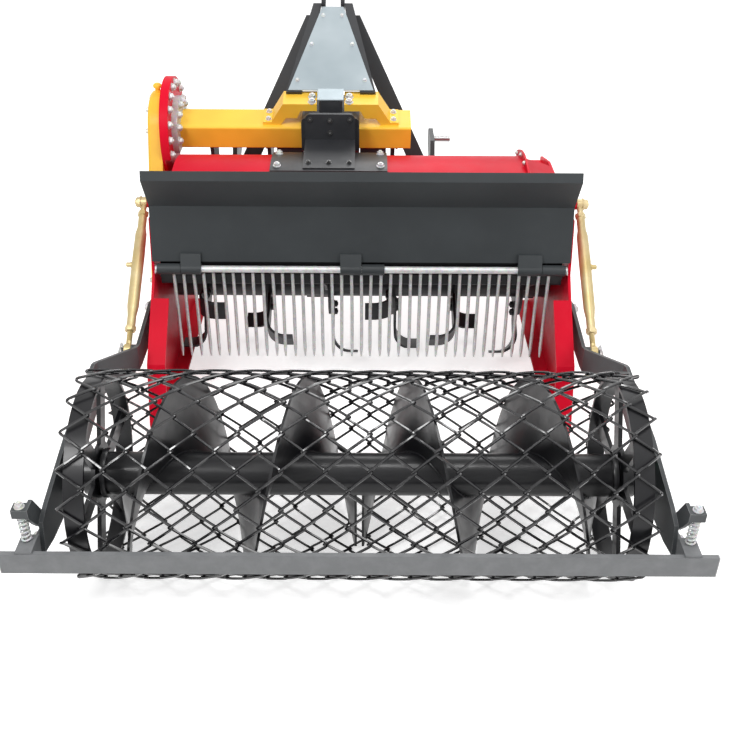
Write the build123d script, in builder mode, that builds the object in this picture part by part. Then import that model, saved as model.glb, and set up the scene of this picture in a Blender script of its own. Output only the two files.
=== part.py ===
from build123d import *
import os
from math import atan2, cos, degrees, pi, radians, sin, sqrt

# Stone burier: a reverse-turning blade rotor under a hood, a hanging comb behind it,
# and a wire mesh roller on two arms, carried on a three point hitch. Millimetres.
# X is to the right seen from behind, Y is forward to the tractor, Z is up, the ground is Z = 0.

# Roller radius, and overall reach from its axle back to the scraper and forward to the top link
ROLLER_R = 250
SCRAPER_STAND = 42
REAR_REACH = ROLLER_R + SCRAPER_STAND
FRONT_REACH = 1545
ROLLER_Y = REAR_REACH - (REAR_REACH + FRONT_REACH) / 2
FRONT_Y = ROLLER_Y + FRONT_REACH

# Clearances
SEAT = 0.3
RUNNING_FIT = 0.05
SIDE_PLAY = 0.4
OPEN_PIVOT_PLAY = 2

# Plates
PLATE = 8
SHEET = 6
DEFLECTOR_PLATE = 5
HALF_WIDTH = 610
INNER_HALF = HALF_WIDTH - PLATE

# Roller arms in plan: beside the side plates in front, stepped out beside the roller behind
ARM_PLATE = 10
ARM_STAND = 15
ARM_STEP = 65
ARM_FRONT_X = HALF_WIDTH + ARM_STAND
ARM_REAR_X = ARM_FRONT_X + ARM_STEP

# Roller
ROLLER_END_GAP = 40
ROLLER_TUBE_HALF = ARM_REAR_X - ROLLER_END_GAP
ROLLER_TUBE_R = 51
ROLLER_TUBE_WALL = 8
ROLLER_STUB_R = 20
BEARING_R = 46
BEARING_GAP = 12
WHEEL_INSET = 32
WHEEL_MID = ROLLER_TUBE_HALF - WHEEL_INSET
WHEEL_WIDTH = 44
WHEEL_RIM = 8
WHEEL_HUB = 24
SPOKES = 6
SPOKE_WIDTH = 40
SPOKE_THICK = 10
MESH_WIRE = 7
WIRE_OUT = 0.62 * MESH_WIRE
WIRE_IN = 0.3 * MESH_WIRE
MESH_DIAMONDS = 18
MESH_ROWS = 27
MESH_OVERHANG = 8
MESH_STEP = 2 * (WHEEL_MID + WHEEL_WIDTH / 2 + MESH_OVERHANG) / MESH_ROWS
MESH_HOOK = 8
MESH_DEPTH = 9
FLIGHT_TURNS = 2
FLIGHT_FACETS = 24
FLIGHT_SHEET = 6
FLIGHT_START = 6
FLIGHT_END_GAP = 24
FLIGHT_PITCH = (WHEEL_MID - WHEEL_WIDTH / 2 - FLIGHT_START - FLIGHT_END_GAP) / FLIGHT_TURNS

# Rotor
ROTOR_FROM_FRONT = 575
ROTOR_Y = FRONT_Y - ROTOR_FROM_FRONT
ROTOR_Z = 250
ROTOR_R = 232
ROTOR_TUBE_R = 45
ROTOR_END_GAP = 12
ROTOR_TUBE_HALF = INNER_HALF - ROTOR_END_GAP
ROTOR_STUB_R = 22
STUB_HOLE_R = ROTOR_STUB_R + 3
STUB_END = 4
ROTOR_FLANGE_R = 105
ROTOR_FLANGE = 10
ROTOR_STATIONS = 6
STATION_INSET = 90
STATION_STEP = 2 * (ROTOR_TUBE_HALF - STATION_INSET) / (ROTOR_STATIONS - 1)
STATION_TWIST = 30
BLADE_THICK = 8
BLADE_FOOT = 84
BLADE_BEND = 60
BLADE_ROOT = 58
BLADE_ROOT_HALF = 28
BLADE_TIP_GAP = 6
HOUSING_R = 62
HOUSING = 14
HOUSING_CAP_R = 42
HOUSING_CAP = 16

# Comb
COMB_GAP = 24
COMB_Y = ROTOR_Y - ROTOR_R - COMB_GAP
COMB_Z = 427
COMB_SHAFT_R = 10
COMB_SHAFT_HALF = HALF_WIDTH - 13
KNUCKLE_R = 16
COMB_STRIP_HALF = HALF_WIDTH - 25
COMB_STRIP = 8
COMB_STRIP_Z = (377, 410)
TINE_COUNT = 39
TINE_INSET = 39.7
TINE_PITCH = 2 * (COMB_STRIP_HALF - TINE_INSET) / (TINE_COUNT - 1)
TINE_R = 5
TINE_TIP_Z = 130

# Hood
HOOD_GAP = 75
HOOD_Y = ROTOR_Y - 20
HOOD_Z = ROTOR_Z + 106
HOOD_R = ROTOR_R + HOOD_GAP
HOOD_FRONT_Z = 300
HOOD_SHOULDER_Z = 566
HOOD_NECK_Z = 625
HOOD_END = {-1: HALF_WIDTH - 54, 1: HALF_WIDTH - 124}
HOOD_LIP = 20

# Drive line
BEAM_Y = ROTOR_Y + 210
BEAM_RISE = 20
BEAM_Z = HOOD_Z + HOOD_R + BEAM_RISE
BEAM_TILT = 15
BEAM_DEPTH = 104
BEAM_HEIGHT = 77
BEAM_CORNER = 6
FLANGE_R = 100
FLANGE_THICK = 18
FLANGE_CUT_Z = BEAM_Z - 49
CASE_PLATE_R = 158
CASE_PLATE_THICK = 18
CASE_THICK = 45
CASE_TOP_R = 115
CASE_BOTTOM_R = 105
CASE_CORNER = 10
BREATHER_R = 8
BREATHER = 27
GEARBOX_X = -97.5
GEARBOX_HALF = 88
GEARBOX_REAR = ROTOR_Y + 96
GEARBOX_FRONT = ROTOR_Y + 322
GEARBOX_TOP = BEAM_Z + 73
GEARBOX_LOW = BEAM_Z - 77
GEARBOX_STEP = (ROTOR_Y + 200, BEAM_Z - 28)
GEARBOX_CORNER = 14
GEARBOX_LID = (70, 60, 36)
GEARBOX_LID_Y = ROTOR_Y + 180
COVER_WIDTH = 152
COVER_HEIGHT = 118
COVER_THICK = 14
COVER_CORNER = 18
SADDLE_PLATE = 8
SADDLE_HALF = 172
SADDLE_REAR = HOOD_Y - 70
SADDLE_FRONT = GEARBOX_REAR - COVER_THICK - 6
FOOT_RISE = 40
FOOT_LOW = 14
BOSS_R = 48
BOSS = 14
STUB_BEAM = 160.5
BEAM_LEFT_END = -INNER_HALF + CASE_PLATE_THICK + FLANGE_THICK
BEAM_RIGHT_END = GEARBOX_X + GEARBOX_HALF + STUB_BEAM
PTO_R = 17.45
PTO_NECK_R = 15.5
PTO_NECK = 2
PTO_SUNK = 26
PTO_REACH = 91

# Three point hitch, category 1
CLEVIS_R = 40
TOP_Y = FRONT_Y - CLEVIS_R
HITCH_SET_BACK = 15
HITCH_Y = TOP_Y - HITCH_SET_BACK
HITCH_Z = 540
HITCH_SPREAD = 683
HITCH_PIN_R = 11
HITCH_PIN_LENGTH = 60
MAST_HEIGHT = 460
TOP_Z = HITCH_Z + MAST_HEIGHT
TOP_BORE_R = 9.75
TOP_GAP = 50
CLEVIS_PLATE = 12
CLEVIS_OUT = TOP_GAP / 2 + CLEVIS_PLATE
EAR_PLATE = 15
EAR_R = 35
HITCH_BEAM = 80
HITCH_BEAM_WALL = 6
HITCH_BEAM_GAP = 6
HITCH_BEAM_Y = HOOD_Y + HOOD_R + HITCH_BEAM_GAP + HITCH_BEAM / 2
HITCH_BEAM_Z = 480

# Roller arms and adjusting rods
ARM_PIVOT_Y = ROTOR_Y - 170
ARM_PIVOT_Z = 250
ARM_PIN_R = 15
PIVOT_BOSS_R = ARM_PIN_R + 13
PIVOT_HEAD_R = ARM_PIN_R + 8
PIVOT_HEAD = 8
ARM_END_R = 38
ROD_STAND = 32
ROD_X = ARM_FRONT_X + ROD_STAND
ROD_R = 12.5
ROD_COLLAR_R = ROD_R + 4
ROD_SCREW_R = 8
ROD_PIN_R = 9
ROD_PIN_END = 18
ROD_EYE_R = 16
ROD_LOW_EYE_R = 18
ROD_EYE_HALF = 10
ROD_TOP_Y = ROTOR_Y - 40
ROD_TOP_Z = 540
ROD_LOW_Y = ROLLER_Y + ROLLER_R + 270
ROD_LOW_Z = ROLLER_R + 20
ROD_NECK = 50
ROD_COLLAR = 14
ROD_NUT = 15
ROD_OPEN = 73
ROD_SCREW_LENGTH = 180

# Scraper
SCRAPER_OVERHANG = 86
SCRAPER_HALF = ARM_REAR_X + SCRAPER_OVERHANG
SCRAPER_HEIGHT = 62
SCRAPER_THICK = 12
SCRAPER_Z = ROLLER_R - 51
SCRAPER_PIVOT_Y = ROLLER_Y - REAR_REACH + 83
SCRAPER_PIVOT_Z = ROLLER_R - 14.5
LEVER_PLATE = 8
TAB = 6
TAB_WIDTH = 36
TAB_LENGTH = 56
LUG = 22
LUG_LENGTH = 28
LUG_Z = ROLLER_R + 88
SPRING_AHEAD = 42
SPRING_COILS = 6

SIDES = ((-1, "left"), (1, "right"))


# Outline of a plate of even thickness along a bent line, mitred at the bends
def bent_plate(points, thickness):
    def shifted(a, b):
        length = sqrt((b[0] - a[0]) ** 2 + (b[1] - a[1]) ** 2)
        normal = ((a[1] - b[1]) / length * thickness, (b[0] - a[0]) / length * thickness)
        return (a[0] + normal[0], a[1] + normal[1]), (b[0] + normal[0], b[1] + normal[1])

    def crossing(first, second):
        (ax, ay), (bx, by) = first
        (cx, cy), (dx, dy) = second
        along = ((cx - ax) * (dy - cy) - (cy - ay) * (dx - cx)) / (
            (bx - ax) * (dy - cy) - (by - ay) * (dx - cx)
        )
        return ax + along * (bx - ax), ay + along * (by - ay)

    lines = [shifted(a, b) for a, b in zip(points, points[1:])]
    inner = [lines[0][0]]
    inner += [crossing(first, second) for first, second in zip(lines, lines[1:])]
    inner.append(lines[-1][1])
    return list(points) + inner[::-1]


# Points as (distance ahead of the rotor's axis, height)
def at_rotor(points):
    return [(ROTOR_Y + y, z) for y, z in points]


# Points as (distance ahead of the roller's axle, height over it)
def at_roller(points):
    return [(ROLLER_Y + y, ROLLER_R + z) for y, z in points]


def finish(piece, label):
    piece.part.label = label
    export_step(piece.part, f"parts/{label}.step")


def plate_between(outline, x_from, x_to):
    with BuildPart() as plate:
        with BuildSketch(Plane.YZ.offset(x_from)):
            with BuildLine():
                Polyline(*outline, close=True)
            make_face()
        extrude(amount=x_to - x_from)
    return plate


# Places along X of a plate of one thickness outside the plane at distance x from the middle
def span(side, x, thickness):
    return (x, x + thickness) if side > 0 else (-x - thickness, -x)


os.makedirs("parts", exist_ok=True)

# Deflector plate, bent twice, hung behind the hood
DEFLECTOR_FOOT_Z = COMB_Z + KNUCKLE_R + 4
HANGER_TOP_Z = DEFLECTOR_FOOT_Z + 26
DEFLECTOR_LINE = at_rotor([(-248, DEFLECTOR_FOOT_Z), (-211, 604), (-275, 706), (-266, 731)])
deflector_outline = bent_plate(DEFLECTOR_LINE, -DEFLECTOR_PLATE)
front_fold = deflector_outline[-2]
front_foot = deflector_outline[-1]
deflector = plate_between(deflector_outline, -HALF_WIDTH + 4, HALF_WIDTH - 4)
finish(deflector, "deflector")


def on_line(low, high, z):
    return low[0] + (z - low[1]) / (high[1] - low[1]) * (high[0] - low[0])


def deflector_front(z):
    return on_line(front_foot, front_fold, z)


def deflector_rear(z):
    return on_line(DEFLECTOR_LINE[0], DEFLECTOR_LINE[1], z)


# Hood: rolled arch with sloping shoulders, open below and at its ends under them
def hood_form(inset):
    half = INNER_HALF + (1 if inset else 0)
    radius = HOOD_R - inset
    crown = HOOD_Z + HOOD_R + 20
    floor_z = HOOD_FRONT_Z - inset
    with BuildPart() as form:
        with BuildSketch(Plane.YZ.offset(-half)):
            with BuildLine():
                arch = CenterArc((HOOD_Y, HOOD_Z), radius, 0, 180)
                Polyline(arch @ 1, (HOOD_Y - radius, floor_z), (HOOD_Y + radius, floor_z), arch @ 0)
            make_face()
        extrude(amount=2 * half)
        for side, hand in SIDES:
            lean = (INNER_HALF - HOOD_END[side]) / (HOOD_NECK_Z - HOOD_SHOULDER_Z)
            low_x = INNER_HALF - inset * sqrt(1 + lean ** 2)
            high_x = HOOD_END[side] - inset
            neck_z = HOOD_SHOULDER_Z + (low_x - high_x) / lean
            with BuildSketch(Plane.XZ.offset(-HOOD_Y - 2 * HOOD_R)):
                with BuildLine():
                    Polyline(
                        (side * low_x, HOOD_SHOULDER_Z),
                        (side * high_x, neck_z),
                        (side * high_x, crown),
                        (side * (half + 1), crown),
                        (side * (half + 1), HOOD_SHOULDER_Z),
                        close=True,
                    )
                make_face()
            extrude(amount=4 * HOOD_R, mode=Mode.SUBTRACT)
    return form.part


with BuildPart() as hood:
    add(hood_form(0))
    add(hood_form(SHEET), mode=Mode.SUBTRACT)
    with BuildSketch(Plane.YZ.offset(-INNER_HALF - 1)):
        with Locations((front_fold[0] + SEAT, 0)):
            Rectangle(4 * HOOD_R, 8 * HOOD_R, align=(Align.MAX, Align.CENTER))
    extrude(amount=2 * INNER_HALF + 2, mode=Mode.SUBTRACT)
    with BuildSketch(Plane.YZ.offset(HOOD_END[1] - SHEET)):
        with Locations((HOOD_Y, HOOD_Z)):
            Circle(HOOD_R + HOOD_LIP)
            Circle(HOOD_R - 1, mode=Mode.SUBTRACT)
        with Locations((HOOD_Y, HOOD_NECK_Z)):
            Rectangle(HOOD_R, HOOD_R, align=(Align.CENTER, Align.MIN), mode=Mode.INTERSECT)
    extrude(amount=SHEET)
finish(hood, "hood")

# Side plates: rear edge, skid and front edge
SKID_REAR = -500
SKID_FRONT = 320
SIDE_FRONT = 382
FLANGE_WIDTH = 44
side_rear = at_rotor([(-303, 355), (-450, 220), (-508, 50), (SKID_REAR, 0)])
top_rear_y = deflector_front(HOOD_SHOULDER_Z)
side_outline = (
    [(front_foot[0], front_foot[1]), (top_rear_y, HOOD_SHOULDER_Z)]
    + at_rotor([(240, HOOD_SHOULDER_Z), (SIDE_FRONT, 530), (SIDE_FRONT, 90), (SKID_FRONT, 0)])
    + side_rear[::-1]
    + at_rotor([(-250, 410)])
)
for side, hand in SIDES:
    inner_x = span(side, INNER_HALF, PLATE)
    flange_x = span(side, INNER_HALF - FLANGE_WIDTH, FLANGE_WIDTH + 1)
    with BuildPart() as side_plate:
        with BuildSketch(Plane.YZ.offset(inner_x[0])):
            with BuildLine():
                Polyline(*side_outline, close=True)
            make_face()
            if side < 0:
                with Locations((BEAM_Y, BEAM_Z)):
                    Circle(CASE_PLATE_R)
        extrude(amount=PLATE)
        with BuildSketch(Plane.YZ.offset(flange_x[0])):
            with BuildLine():
                Polyline(*bent_plate(side_rear, PLATE), close=True)
            make_face()
        extrude(amount=flange_x[1] - flange_x[0])
        with BuildSketch(Plane.YZ.offset(flange_x[0])):
            with Locations((side_rear[-1][0], 0)):
                Rectangle(SKID_FRONT - SKID_REAR, PLATE, align=(Align.MIN, Align.MIN))
        extrude(amount=flange_x[1] - flange_x[0])
        with BuildSketch(Plane.YZ.offset(side * HALF_WIDTH)):
            with Locations((ARM_PIVOT_Y, ARM_PIVOT_Z)):
                Circle(PIVOT_BOSS_R)
        extrude(amount=side * (ARM_STAND - SIDE_PLAY))
        with BuildSketch(Plane.YZ.offset(side * HALF_WIDTH)):
            with Locations((ARM_PIVOT_Y, ARM_PIVOT_Z)):
                Circle(ARM_PIN_R)
        extrude(amount=side * (ARM_STAND + ARM_PLATE + PIVOT_HEAD))
        with BuildSketch(Plane.YZ.offset(side * (ARM_FRONT_X + ARM_PLATE + SIDE_PLAY))):
            with Locations((ARM_PIVOT_Y, ARM_PIVOT_Z)):
                Circle(PIVOT_HEAD_R)
        extrude(amount=side * (PIVOT_HEAD - SIDE_PLAY))
        with BuildSketch(Plane.YZ.offset(side * HALF_WIDTH)):
            with Locations((ROD_TOP_Y, ROD_TOP_Z)):
                Circle(ROD_PIN_R)
        extrude(amount=side * (ROD_X - HALF_WIDTH + ROD_PIN_END))
        with BuildSketch(Plane.YZ.offset(side * HALF_WIDTH)):
            with Locations((ROD_TOP_Y, ROD_TOP_Z)):
                Circle(ROD_EYE_R)
        extrude(amount=side * (ROD_X - HALF_WIDTH - ROD_EYE_HALF - SIDE_PLAY))
        with BuildSketch(Plane.YZ.offset(side * (INNER_HALF - 1))):
            with Locations((ROTOR_Y, ROTOR_Z)):
                Circle(STUB_HOLE_R)
        extrude(amount=side * (PLATE + 2), mode=Mode.SUBTRACT)
    finish(side_plate, f"side_plate_{hand}")

# Comb shaft, with fixed knuckles hung from the deflector
with BuildPart() as comb_shaft:
    with BuildSketch(Plane.YZ.offset(-COMB_SHAFT_HALF)):
        with Locations((COMB_Y, COMB_Z)):
            Circle(COMB_SHAFT_R)
    extrude(amount=2 * COMB_SHAFT_HALF)
finish(comb_shaft, "comb_shaft")

# Knuckles: (start, end) along X; the comb's turn on the shaft, the fixed ones hang it
KNUCKLE_GAP = 1
KNUCKLE_END = COMB_SHAFT_HALF - 6
KNUCKLE_SPLIT = COMB_SHAFT_HALF - 75
FIXED_KNUCKLES = (
    (-KNUCKLE_SPLIT, 58 - KNUCKLE_SPLIT),
    (-61, 0),
    (KNUCKLE_SPLIT - 69, KNUCKLE_SPLIT),
)
COMB_KNUCKLES = (
    (-KNUCKLE_END, -KNUCKLE_SPLIT - KNUCKLE_GAP),
    (KNUCKLE_GAP, 67),
    (KNUCKLE_SPLIT + KNUCKLE_GAP, KNUCKLE_END),
)
with BuildPart() as comb_hangers:
    for start, end in FIXED_KNUCKLES:
        with BuildSketch(Plane.YZ.offset(start)):
            with Locations((COMB_Y, COMB_Z)):
                Circle(KNUCKLE_R)
            with BuildLine():
                Polyline(
                    (COMB_Y, COMB_Z),
                    (deflector_rear(DEFLECTOR_FOOT_Z) - SEAT, DEFLECTOR_FOOT_Z),
                    (deflector_rear(HANGER_TOP_Z) - SEAT, HANGER_TOP_Z),
                    (deflector_rear(HANGER_TOP_Z) - PLATE, HANGER_TOP_Z),
                    (COMB_Y - KNUCKLE_R + 3, COMB_Z + 6),
                    close=True,
                )
            make_face()
            with Locations((COMB_Y, COMB_Z)):
                Circle(COMB_SHAFT_R + RUNNING_FIT, mode=Mode.SUBTRACT)
        extrude(amount=end - start)
finish(comb_hangers, "comb_hangers")

# Comb: round tines on a cross strip, hung on its own knuckles
with BuildPart() as comb:
    strip_y = COMB_Y + TINE_R
    with BuildSketch(Plane.YZ.offset(-COMB_STRIP_HALF)):
        with Locations((strip_y, COMB_STRIP_Z[0])):
            Rectangle(COMB_STRIP, COMB_STRIP_Z[1] - COMB_STRIP_Z[0], align=(Align.MIN, Align.MIN))
    extrude(amount=2 * COMB_STRIP_HALF)
    for start, end in COMB_KNUCKLES:
        with BuildSketch(Plane.YZ.offset(start)):
            with Locations((COMB_Y, COMB_Z)):
                Circle(KNUCKLE_R)
            with Locations((strip_y, COMB_STRIP_Z[0])):
                Rectangle(COMB_STRIP, COMB_Z - COMB_STRIP_Z[0], align=(Align.MIN, Align.MIN))
            with Locations((COMB_Y, COMB_Z)):
                Circle(COMB_SHAFT_R + RUNNING_FIT, mode=Mode.SUBTRACT)
        extrude(amount=end - start)
    with BuildSketch(Plane.XY.offset(TINE_TIP_Z)):
        with GridLocations(TINE_PITCH, 1, TINE_COUNT, 1):
            with Locations((0, COMB_Y + 1)):
                RegularPolygon(TINE_R, 8, rotation=22.5)
    extrude(amount=COMB_STRIP_Z[1] - 2 - TINE_TIP_Z)
finish(comb, "comb")

# Rotor: tube with a blade flange at each station, and stub shafts in the side plates
with BuildPart() as rotor_shaft:
    with BuildSketch(Plane.YZ.offset(-ROTOR_TUBE_HALF)):
        with Locations((ROTOR_Y, ROTOR_Z)):
            Circle(ROTOR_TUBE_R)
    extrude(amount=2 * ROTOR_TUBE_HALF)
    with BuildSketch(Plane.YZ.offset(-HALF_WIDTH - STUB_END)):
        with Locations((ROTOR_Y, ROTOR_Z)):
            Circle(ROTOR_STUB_R)
    extrude(amount=2 * (HALF_WIDTH + STUB_END))
    for station in range(ROTOR_STATIONS):
        station_x = (station - (ROTOR_STATIONS - 1) / 2) * STATION_STEP
        with BuildSketch(Plane.YZ.offset(station_x - ROTOR_FLANGE / 2)):
            with Locations((ROTOR_Y, ROTOR_Z)):
                RegularPolygon(ROTOR_FLANGE_R, 16)
        extrude(amount=ROTOR_FLANGE)
finish(rotor_shaft, "rotor_shaft")

# One blade standing on the origin along Z: a bar bent out along +X, then cut to its side outline
TIP_R = ROTOR_R - BLADE_TIP_GAP
LEAD = 0.42 * BLADE_FOOT
with BuildPart() as blade:
    with BuildSketch(Plane.XZ):
        with BuildLine():
            inner_bend = BLADE_BEND - BLADE_THICK
            shank = Line((0, BLADE_ROOT), (0, TIP_R - BLADE_BEND))
            outer = RadiusArc(shank @ 1, (BLADE_BEND, TIP_R), BLADE_BEND)
            foot = Line(outer @ 1, (BLADE_FOOT, TIP_R))
            tip = Line(foot @ 1, (BLADE_FOOT, TIP_R - BLADE_THICK))
            under = Line(tip @ 1, (BLADE_BEND, TIP_R - BLADE_THICK))
            inner = RadiusArc(under @ 1, (BLADE_THICK, TIP_R - BLADE_BEND), -inner_bend)
            back = Line(inner @ 1, (BLADE_THICK, BLADE_ROOT))
            Line(back @ 1, shank @ 0)
        make_face()
    extrude(amount=ROTOR_R, both=True)
    with BuildSketch(Plane.YZ):
        with BuildLine():
            Polyline(
                (BLADE_ROOT_HALF, BLADE_ROOT - 1),
                (BLADE_ROOT_HALF, 0.56 * TIP_R),
                (BLADE_ROOT_HALF + LEAD / 2, TIP_R - BLADE_BEND),
                (BLADE_ROOT_HALF + LEAD / 2, 0.98 * TIP_R),
                (BLADE_ROOT_HALF, TIP_R + 1),
                (-LEAD / 4, TIP_R + 1),
                (-LEAD / 2, TIP_R - BLADE_BEND),
                (-BLADE_ROOT_HALF, 0.56 * TIP_R),
                (-BLADE_ROOT_HALF, BLADE_ROOT - 1),
                close=True,
            )
        make_face()
    extrude(amount=BLADE_FOOT, mode=Mode.INTERSECT)

blades = {1: blade.part, -1: mirror(blade.part, about=Plane.YZ, mode=Mode.PRIVATE)}
with BuildPart() as rotor_blades:
    for station in range(ROTOR_STATIONS):
        station_x = (station - (ROTOR_STATIONS - 1) / 2) * STATION_STEP
        for side, first_angle in ((-1, 0), (1, 90)):
            face_x = station_x + side * ROTOR_FLANGE / 2
            for turn in (0, 180):
                angle = first_angle + turn + station * STATION_TWIST
                with Locations(Location((face_x, ROTOR_Y, ROTOR_Z), (angle, 0, 0))):
                    add(blades[side])
finish(rotor_blades, "rotor_blades")

# Bearing of the rotor on the right side plate
with BuildPart() as rotor_bearing:
    with BuildSketch(Plane.YZ.offset(HALF_WIDTH)):
        with Locations((ROTOR_Y, ROTOR_Z)):
            Circle(HOUSING_R)
            Circle(ROTOR_STUB_R + RUNNING_FIT, mode=Mode.SUBTRACT)
    extrude(amount=HOUSING)
    with BuildSketch(Plane.YZ.offset(HALF_WIDTH + HOUSING)):
        with Locations((ROTOR_Y, ROTOR_Z)):
            Circle(HOUSING_CAP_R)
    extrude(amount=HOUSING_CAP)
finish(rotor_bearing, "rotor_bearing")

# Gear case outside the left plate, from the drive line down to the rotor
with BuildPart() as gear_case:
    reach = sqrt((BEAM_Y - ROTOR_Y) ** 2 + (BEAM_Z - ROTOR_Z) ** 2)
    with BuildSketch(Plane.YZ.offset(-HALF_WIDTH - CASE_THICK)):
        with BuildLine():
            turn = atan2(BEAM_Z - ROTOR_Z, BEAM_Y - ROTOR_Y)
            open_angle = degrees(turn)
            taper = degrees(atan2(CASE_TOP_R - CASE_BOTTOM_R, reach))
            low = CenterArc((ROTOR_Y, ROTOR_Z), CASE_BOTTOM_R, open_angle + 90 + taper, 180 - 2 * taper)
            high = CenterArc((BEAM_Y, BEAM_Z), CASE_TOP_R, open_angle - 90 - taper, 180 + 2 * taper)
            Line(low @ 1, high @ 0)
            Line(high @ 1, low @ 0)
        make_face()
    extrude(amount=CASE_THICK)
    fillet(gear_case.faces().sort_by(Axis.X)[0].edges(), CASE_CORNER)
    with BuildSketch(Plane.YZ.offset(-HALF_WIDTH)):
        with Locations((ROTOR_Y, ROTOR_Z)):
            Circle(STUB_HOLE_R)
    extrude(amount=-3 * STUB_END, mode=Mode.SUBTRACT)
    with BuildSketch(Plane.XY.offset(BEAM_Z + CASE_TOP_R / 2)):
        with Locations((-HALF_WIDTH - CASE_THICK / 2, BEAM_Y)):
            Circle(BREATHER_R)
    extrude(amount=CASE_TOP_R / 2 + BREATHER)
finish(gear_case, "gear_case")

with BuildPart() as gear_case_plate:
    with BuildSketch(Plane.YZ.offset(-INNER_HALF)):
        with Locations((BEAM_Y, BEAM_Z)):
            Circle(CASE_PLATE_R)
        with Locations((BEAM_Y, FLANGE_CUT_Z)):
            Rectangle(600, 600, align=(Align.CENTER, Align.MAX), mode=Mode.SUBTRACT)
    extrude(amount=CASE_PLATE_THICK)
finish(gear_case_plate, "gear_case_plate")

with BuildPart() as drive_flange:
    with BuildSketch(Plane.YZ.offset(-INNER_HALF + CASE_PLATE_THICK)):
        with Locations((BEAM_Y, BEAM_Z)):
            Circle(FLANGE_R)
        with Locations((BEAM_Y, FLANGE_CUT_Z)):
            Rectangle(600, 600, align=(Align.CENTER, Align.MAX), mode=Mode.SUBTRACT)
    extrude(amount=FLANGE_THICK)
finish(drive_flange, "drive_flange")

# Drive beam on the left of the gearbox and its stub on the right, both tilted forward
BEAM_PIECES = (
    ("drive_beam", BEAM_LEFT_END, GEARBOX_X - GEARBOX_HALF),
    ("beam_stub", GEARBOX_X + GEARBOX_HALF, BEAM_RIGHT_END),
)
for label, start, end in BEAM_PIECES:
    with BuildPart() as beam:
        with BuildSketch(Plane.YZ.offset(start)):
            with Locations(Location((BEAM_Y, BEAM_Z), BEAM_TILT)):
                RectangleRounded(BEAM_DEPTH, BEAM_HEIGHT, BEAM_CORNER)
        extrude(amount=end - start)
    finish(beam, label)

# Gearbox
gearbox_outline = [
    (GEARBOX_REAR, GEARBOX_STEP[1]),
    (GEARBOX_REAR, GEARBOX_TOP),
    (GEARBOX_FRONT, GEARBOX_TOP),
    (GEARBOX_FRONT, GEARBOX_LOW),
    (GEARBOX_STEP[0], GEARBOX_LOW),
]
with BuildPart() as gearbox:
    with BuildSketch(Plane.YZ.offset(GEARBOX_X - GEARBOX_HALF)):
        with BuildLine():
            Polyline(*gearbox_outline, close=True)
        make_face()
    extrude(amount=2 * GEARBOX_HALF)
    fillet(gearbox.edges().filter_by(Axis.Y), GEARBOX_CORNER)
    with BuildSketch(Plane.XY.offset(GEARBOX_TOP)):
        with Locations((GEARBOX_X, GEARBOX_LID_Y)):
            RectangleRounded(GEARBOX_LID[0], GEARBOX_LID[1], GEARBOX_CORNER / 2)
    extrude(amount=GEARBOX_LID[2])
    with BuildSketch(Plane.XZ.offset(-GEARBOX_FRONT)):
        with Locations((GEARBOX_X, BEAM_Z)):
            Circle(BOSS_R)
    extrude(amount=-BOSS)
    with BuildSketch(Plane.XZ.offset(-GEARBOX_FRONT - BOSS)):
        with Locations((GEARBOX_X, BEAM_Z)):
            Circle(PTO_NECK_R + RUNNING_FIT)
    extrude(amount=PTO_SUNK + BOSS, mode=Mode.SUBTRACT)
finish(gearbox, "gearbox")

with BuildPart() as gearbox_cover:
    with BuildSketch(Plane.XZ.offset(-GEARBOX_REAR)):
        with Locations((GEARBOX_X, GEARBOX_STEP[1])):
            RectangleRounded(COVER_WIDTH, COVER_HEIGHT, COVER_CORNER, align=(Align.CENTER, Align.MIN))
    extrude(amount=COVER_THICK)
finish(gearbox_cover, "gearbox_cover")

# Saddle of the gearbox on the hood: a rolled plate with a sloping foot up to the rear cover
with BuildPart() as gearbox_saddle:
    with BuildSketch(Plane.YZ.offset(GEARBOX_X - SADDLE_HALF)):
        with Locations((HOOD_Y, HOOD_Z)):
            Circle(HOOD_R + SEAT + SADDLE_PLATE)
            Circle(HOOD_R + SEAT, mode=Mode.SUBTRACT)
        with Locations((SADDLE_REAR, HOOD_Z)):
            Rectangle(SADDLE_FRONT - SADDLE_REAR, 2 * HOOD_R, align=(Align.MIN, Align.MIN), mode=Mode.INTERSECT)
    extrude(amount=2 * SADDLE_HALF)
    with BuildSketch(Plane.YZ.offset(GEARBOX_X - COVER_WIDTH / 2)):
        with BuildLine():
            Polyline(
                (GEARBOX_REAR - COVER_THICK - SEAT, GEARBOX_STEP[1] + FOOT_RISE),
                (GEARBOX_REAR - COVER_THICK - SEAT, HOOD_Z),
                (SADDLE_REAR + SADDLE_PLATE, HOOD_Z),
                (SADDLE_REAR + SADDLE_PLATE, HOOD_Z + HOOD_R - SADDLE_PLATE + FOOT_LOW),
                close=True,
            )
        make_face()
        with Locations((HOOD_Y, HOOD_Z)):
            Circle(HOOD_R + SEAT, mode=Mode.SUBTRACT)
    extrude(amount=COVER_WIDTH)
finish(gearbox_saddle, "gearbox_saddle")

with BuildPart() as pto_shaft:
    with BuildSketch(Plane.XZ.offset(-GEARBOX_FRONT - BOSS + PTO_SUNK)):
        with Locations((GEARBOX_X, BEAM_Z)):
            Circle(PTO_NECK_R)
    extrude(amount=-PTO_SUNK - PTO_NECK)
    with BuildSketch(Plane.XZ.offset(-GEARBOX_FRONT - BOSS - PTO_NECK)):
        with Locations((GEARBOX_X, BEAM_Z)):
            Circle(PTO_R)
    extrude(amount=PTO_NECK - PTO_REACH)
finish(pto_shaft, "pto_shaft")

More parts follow.
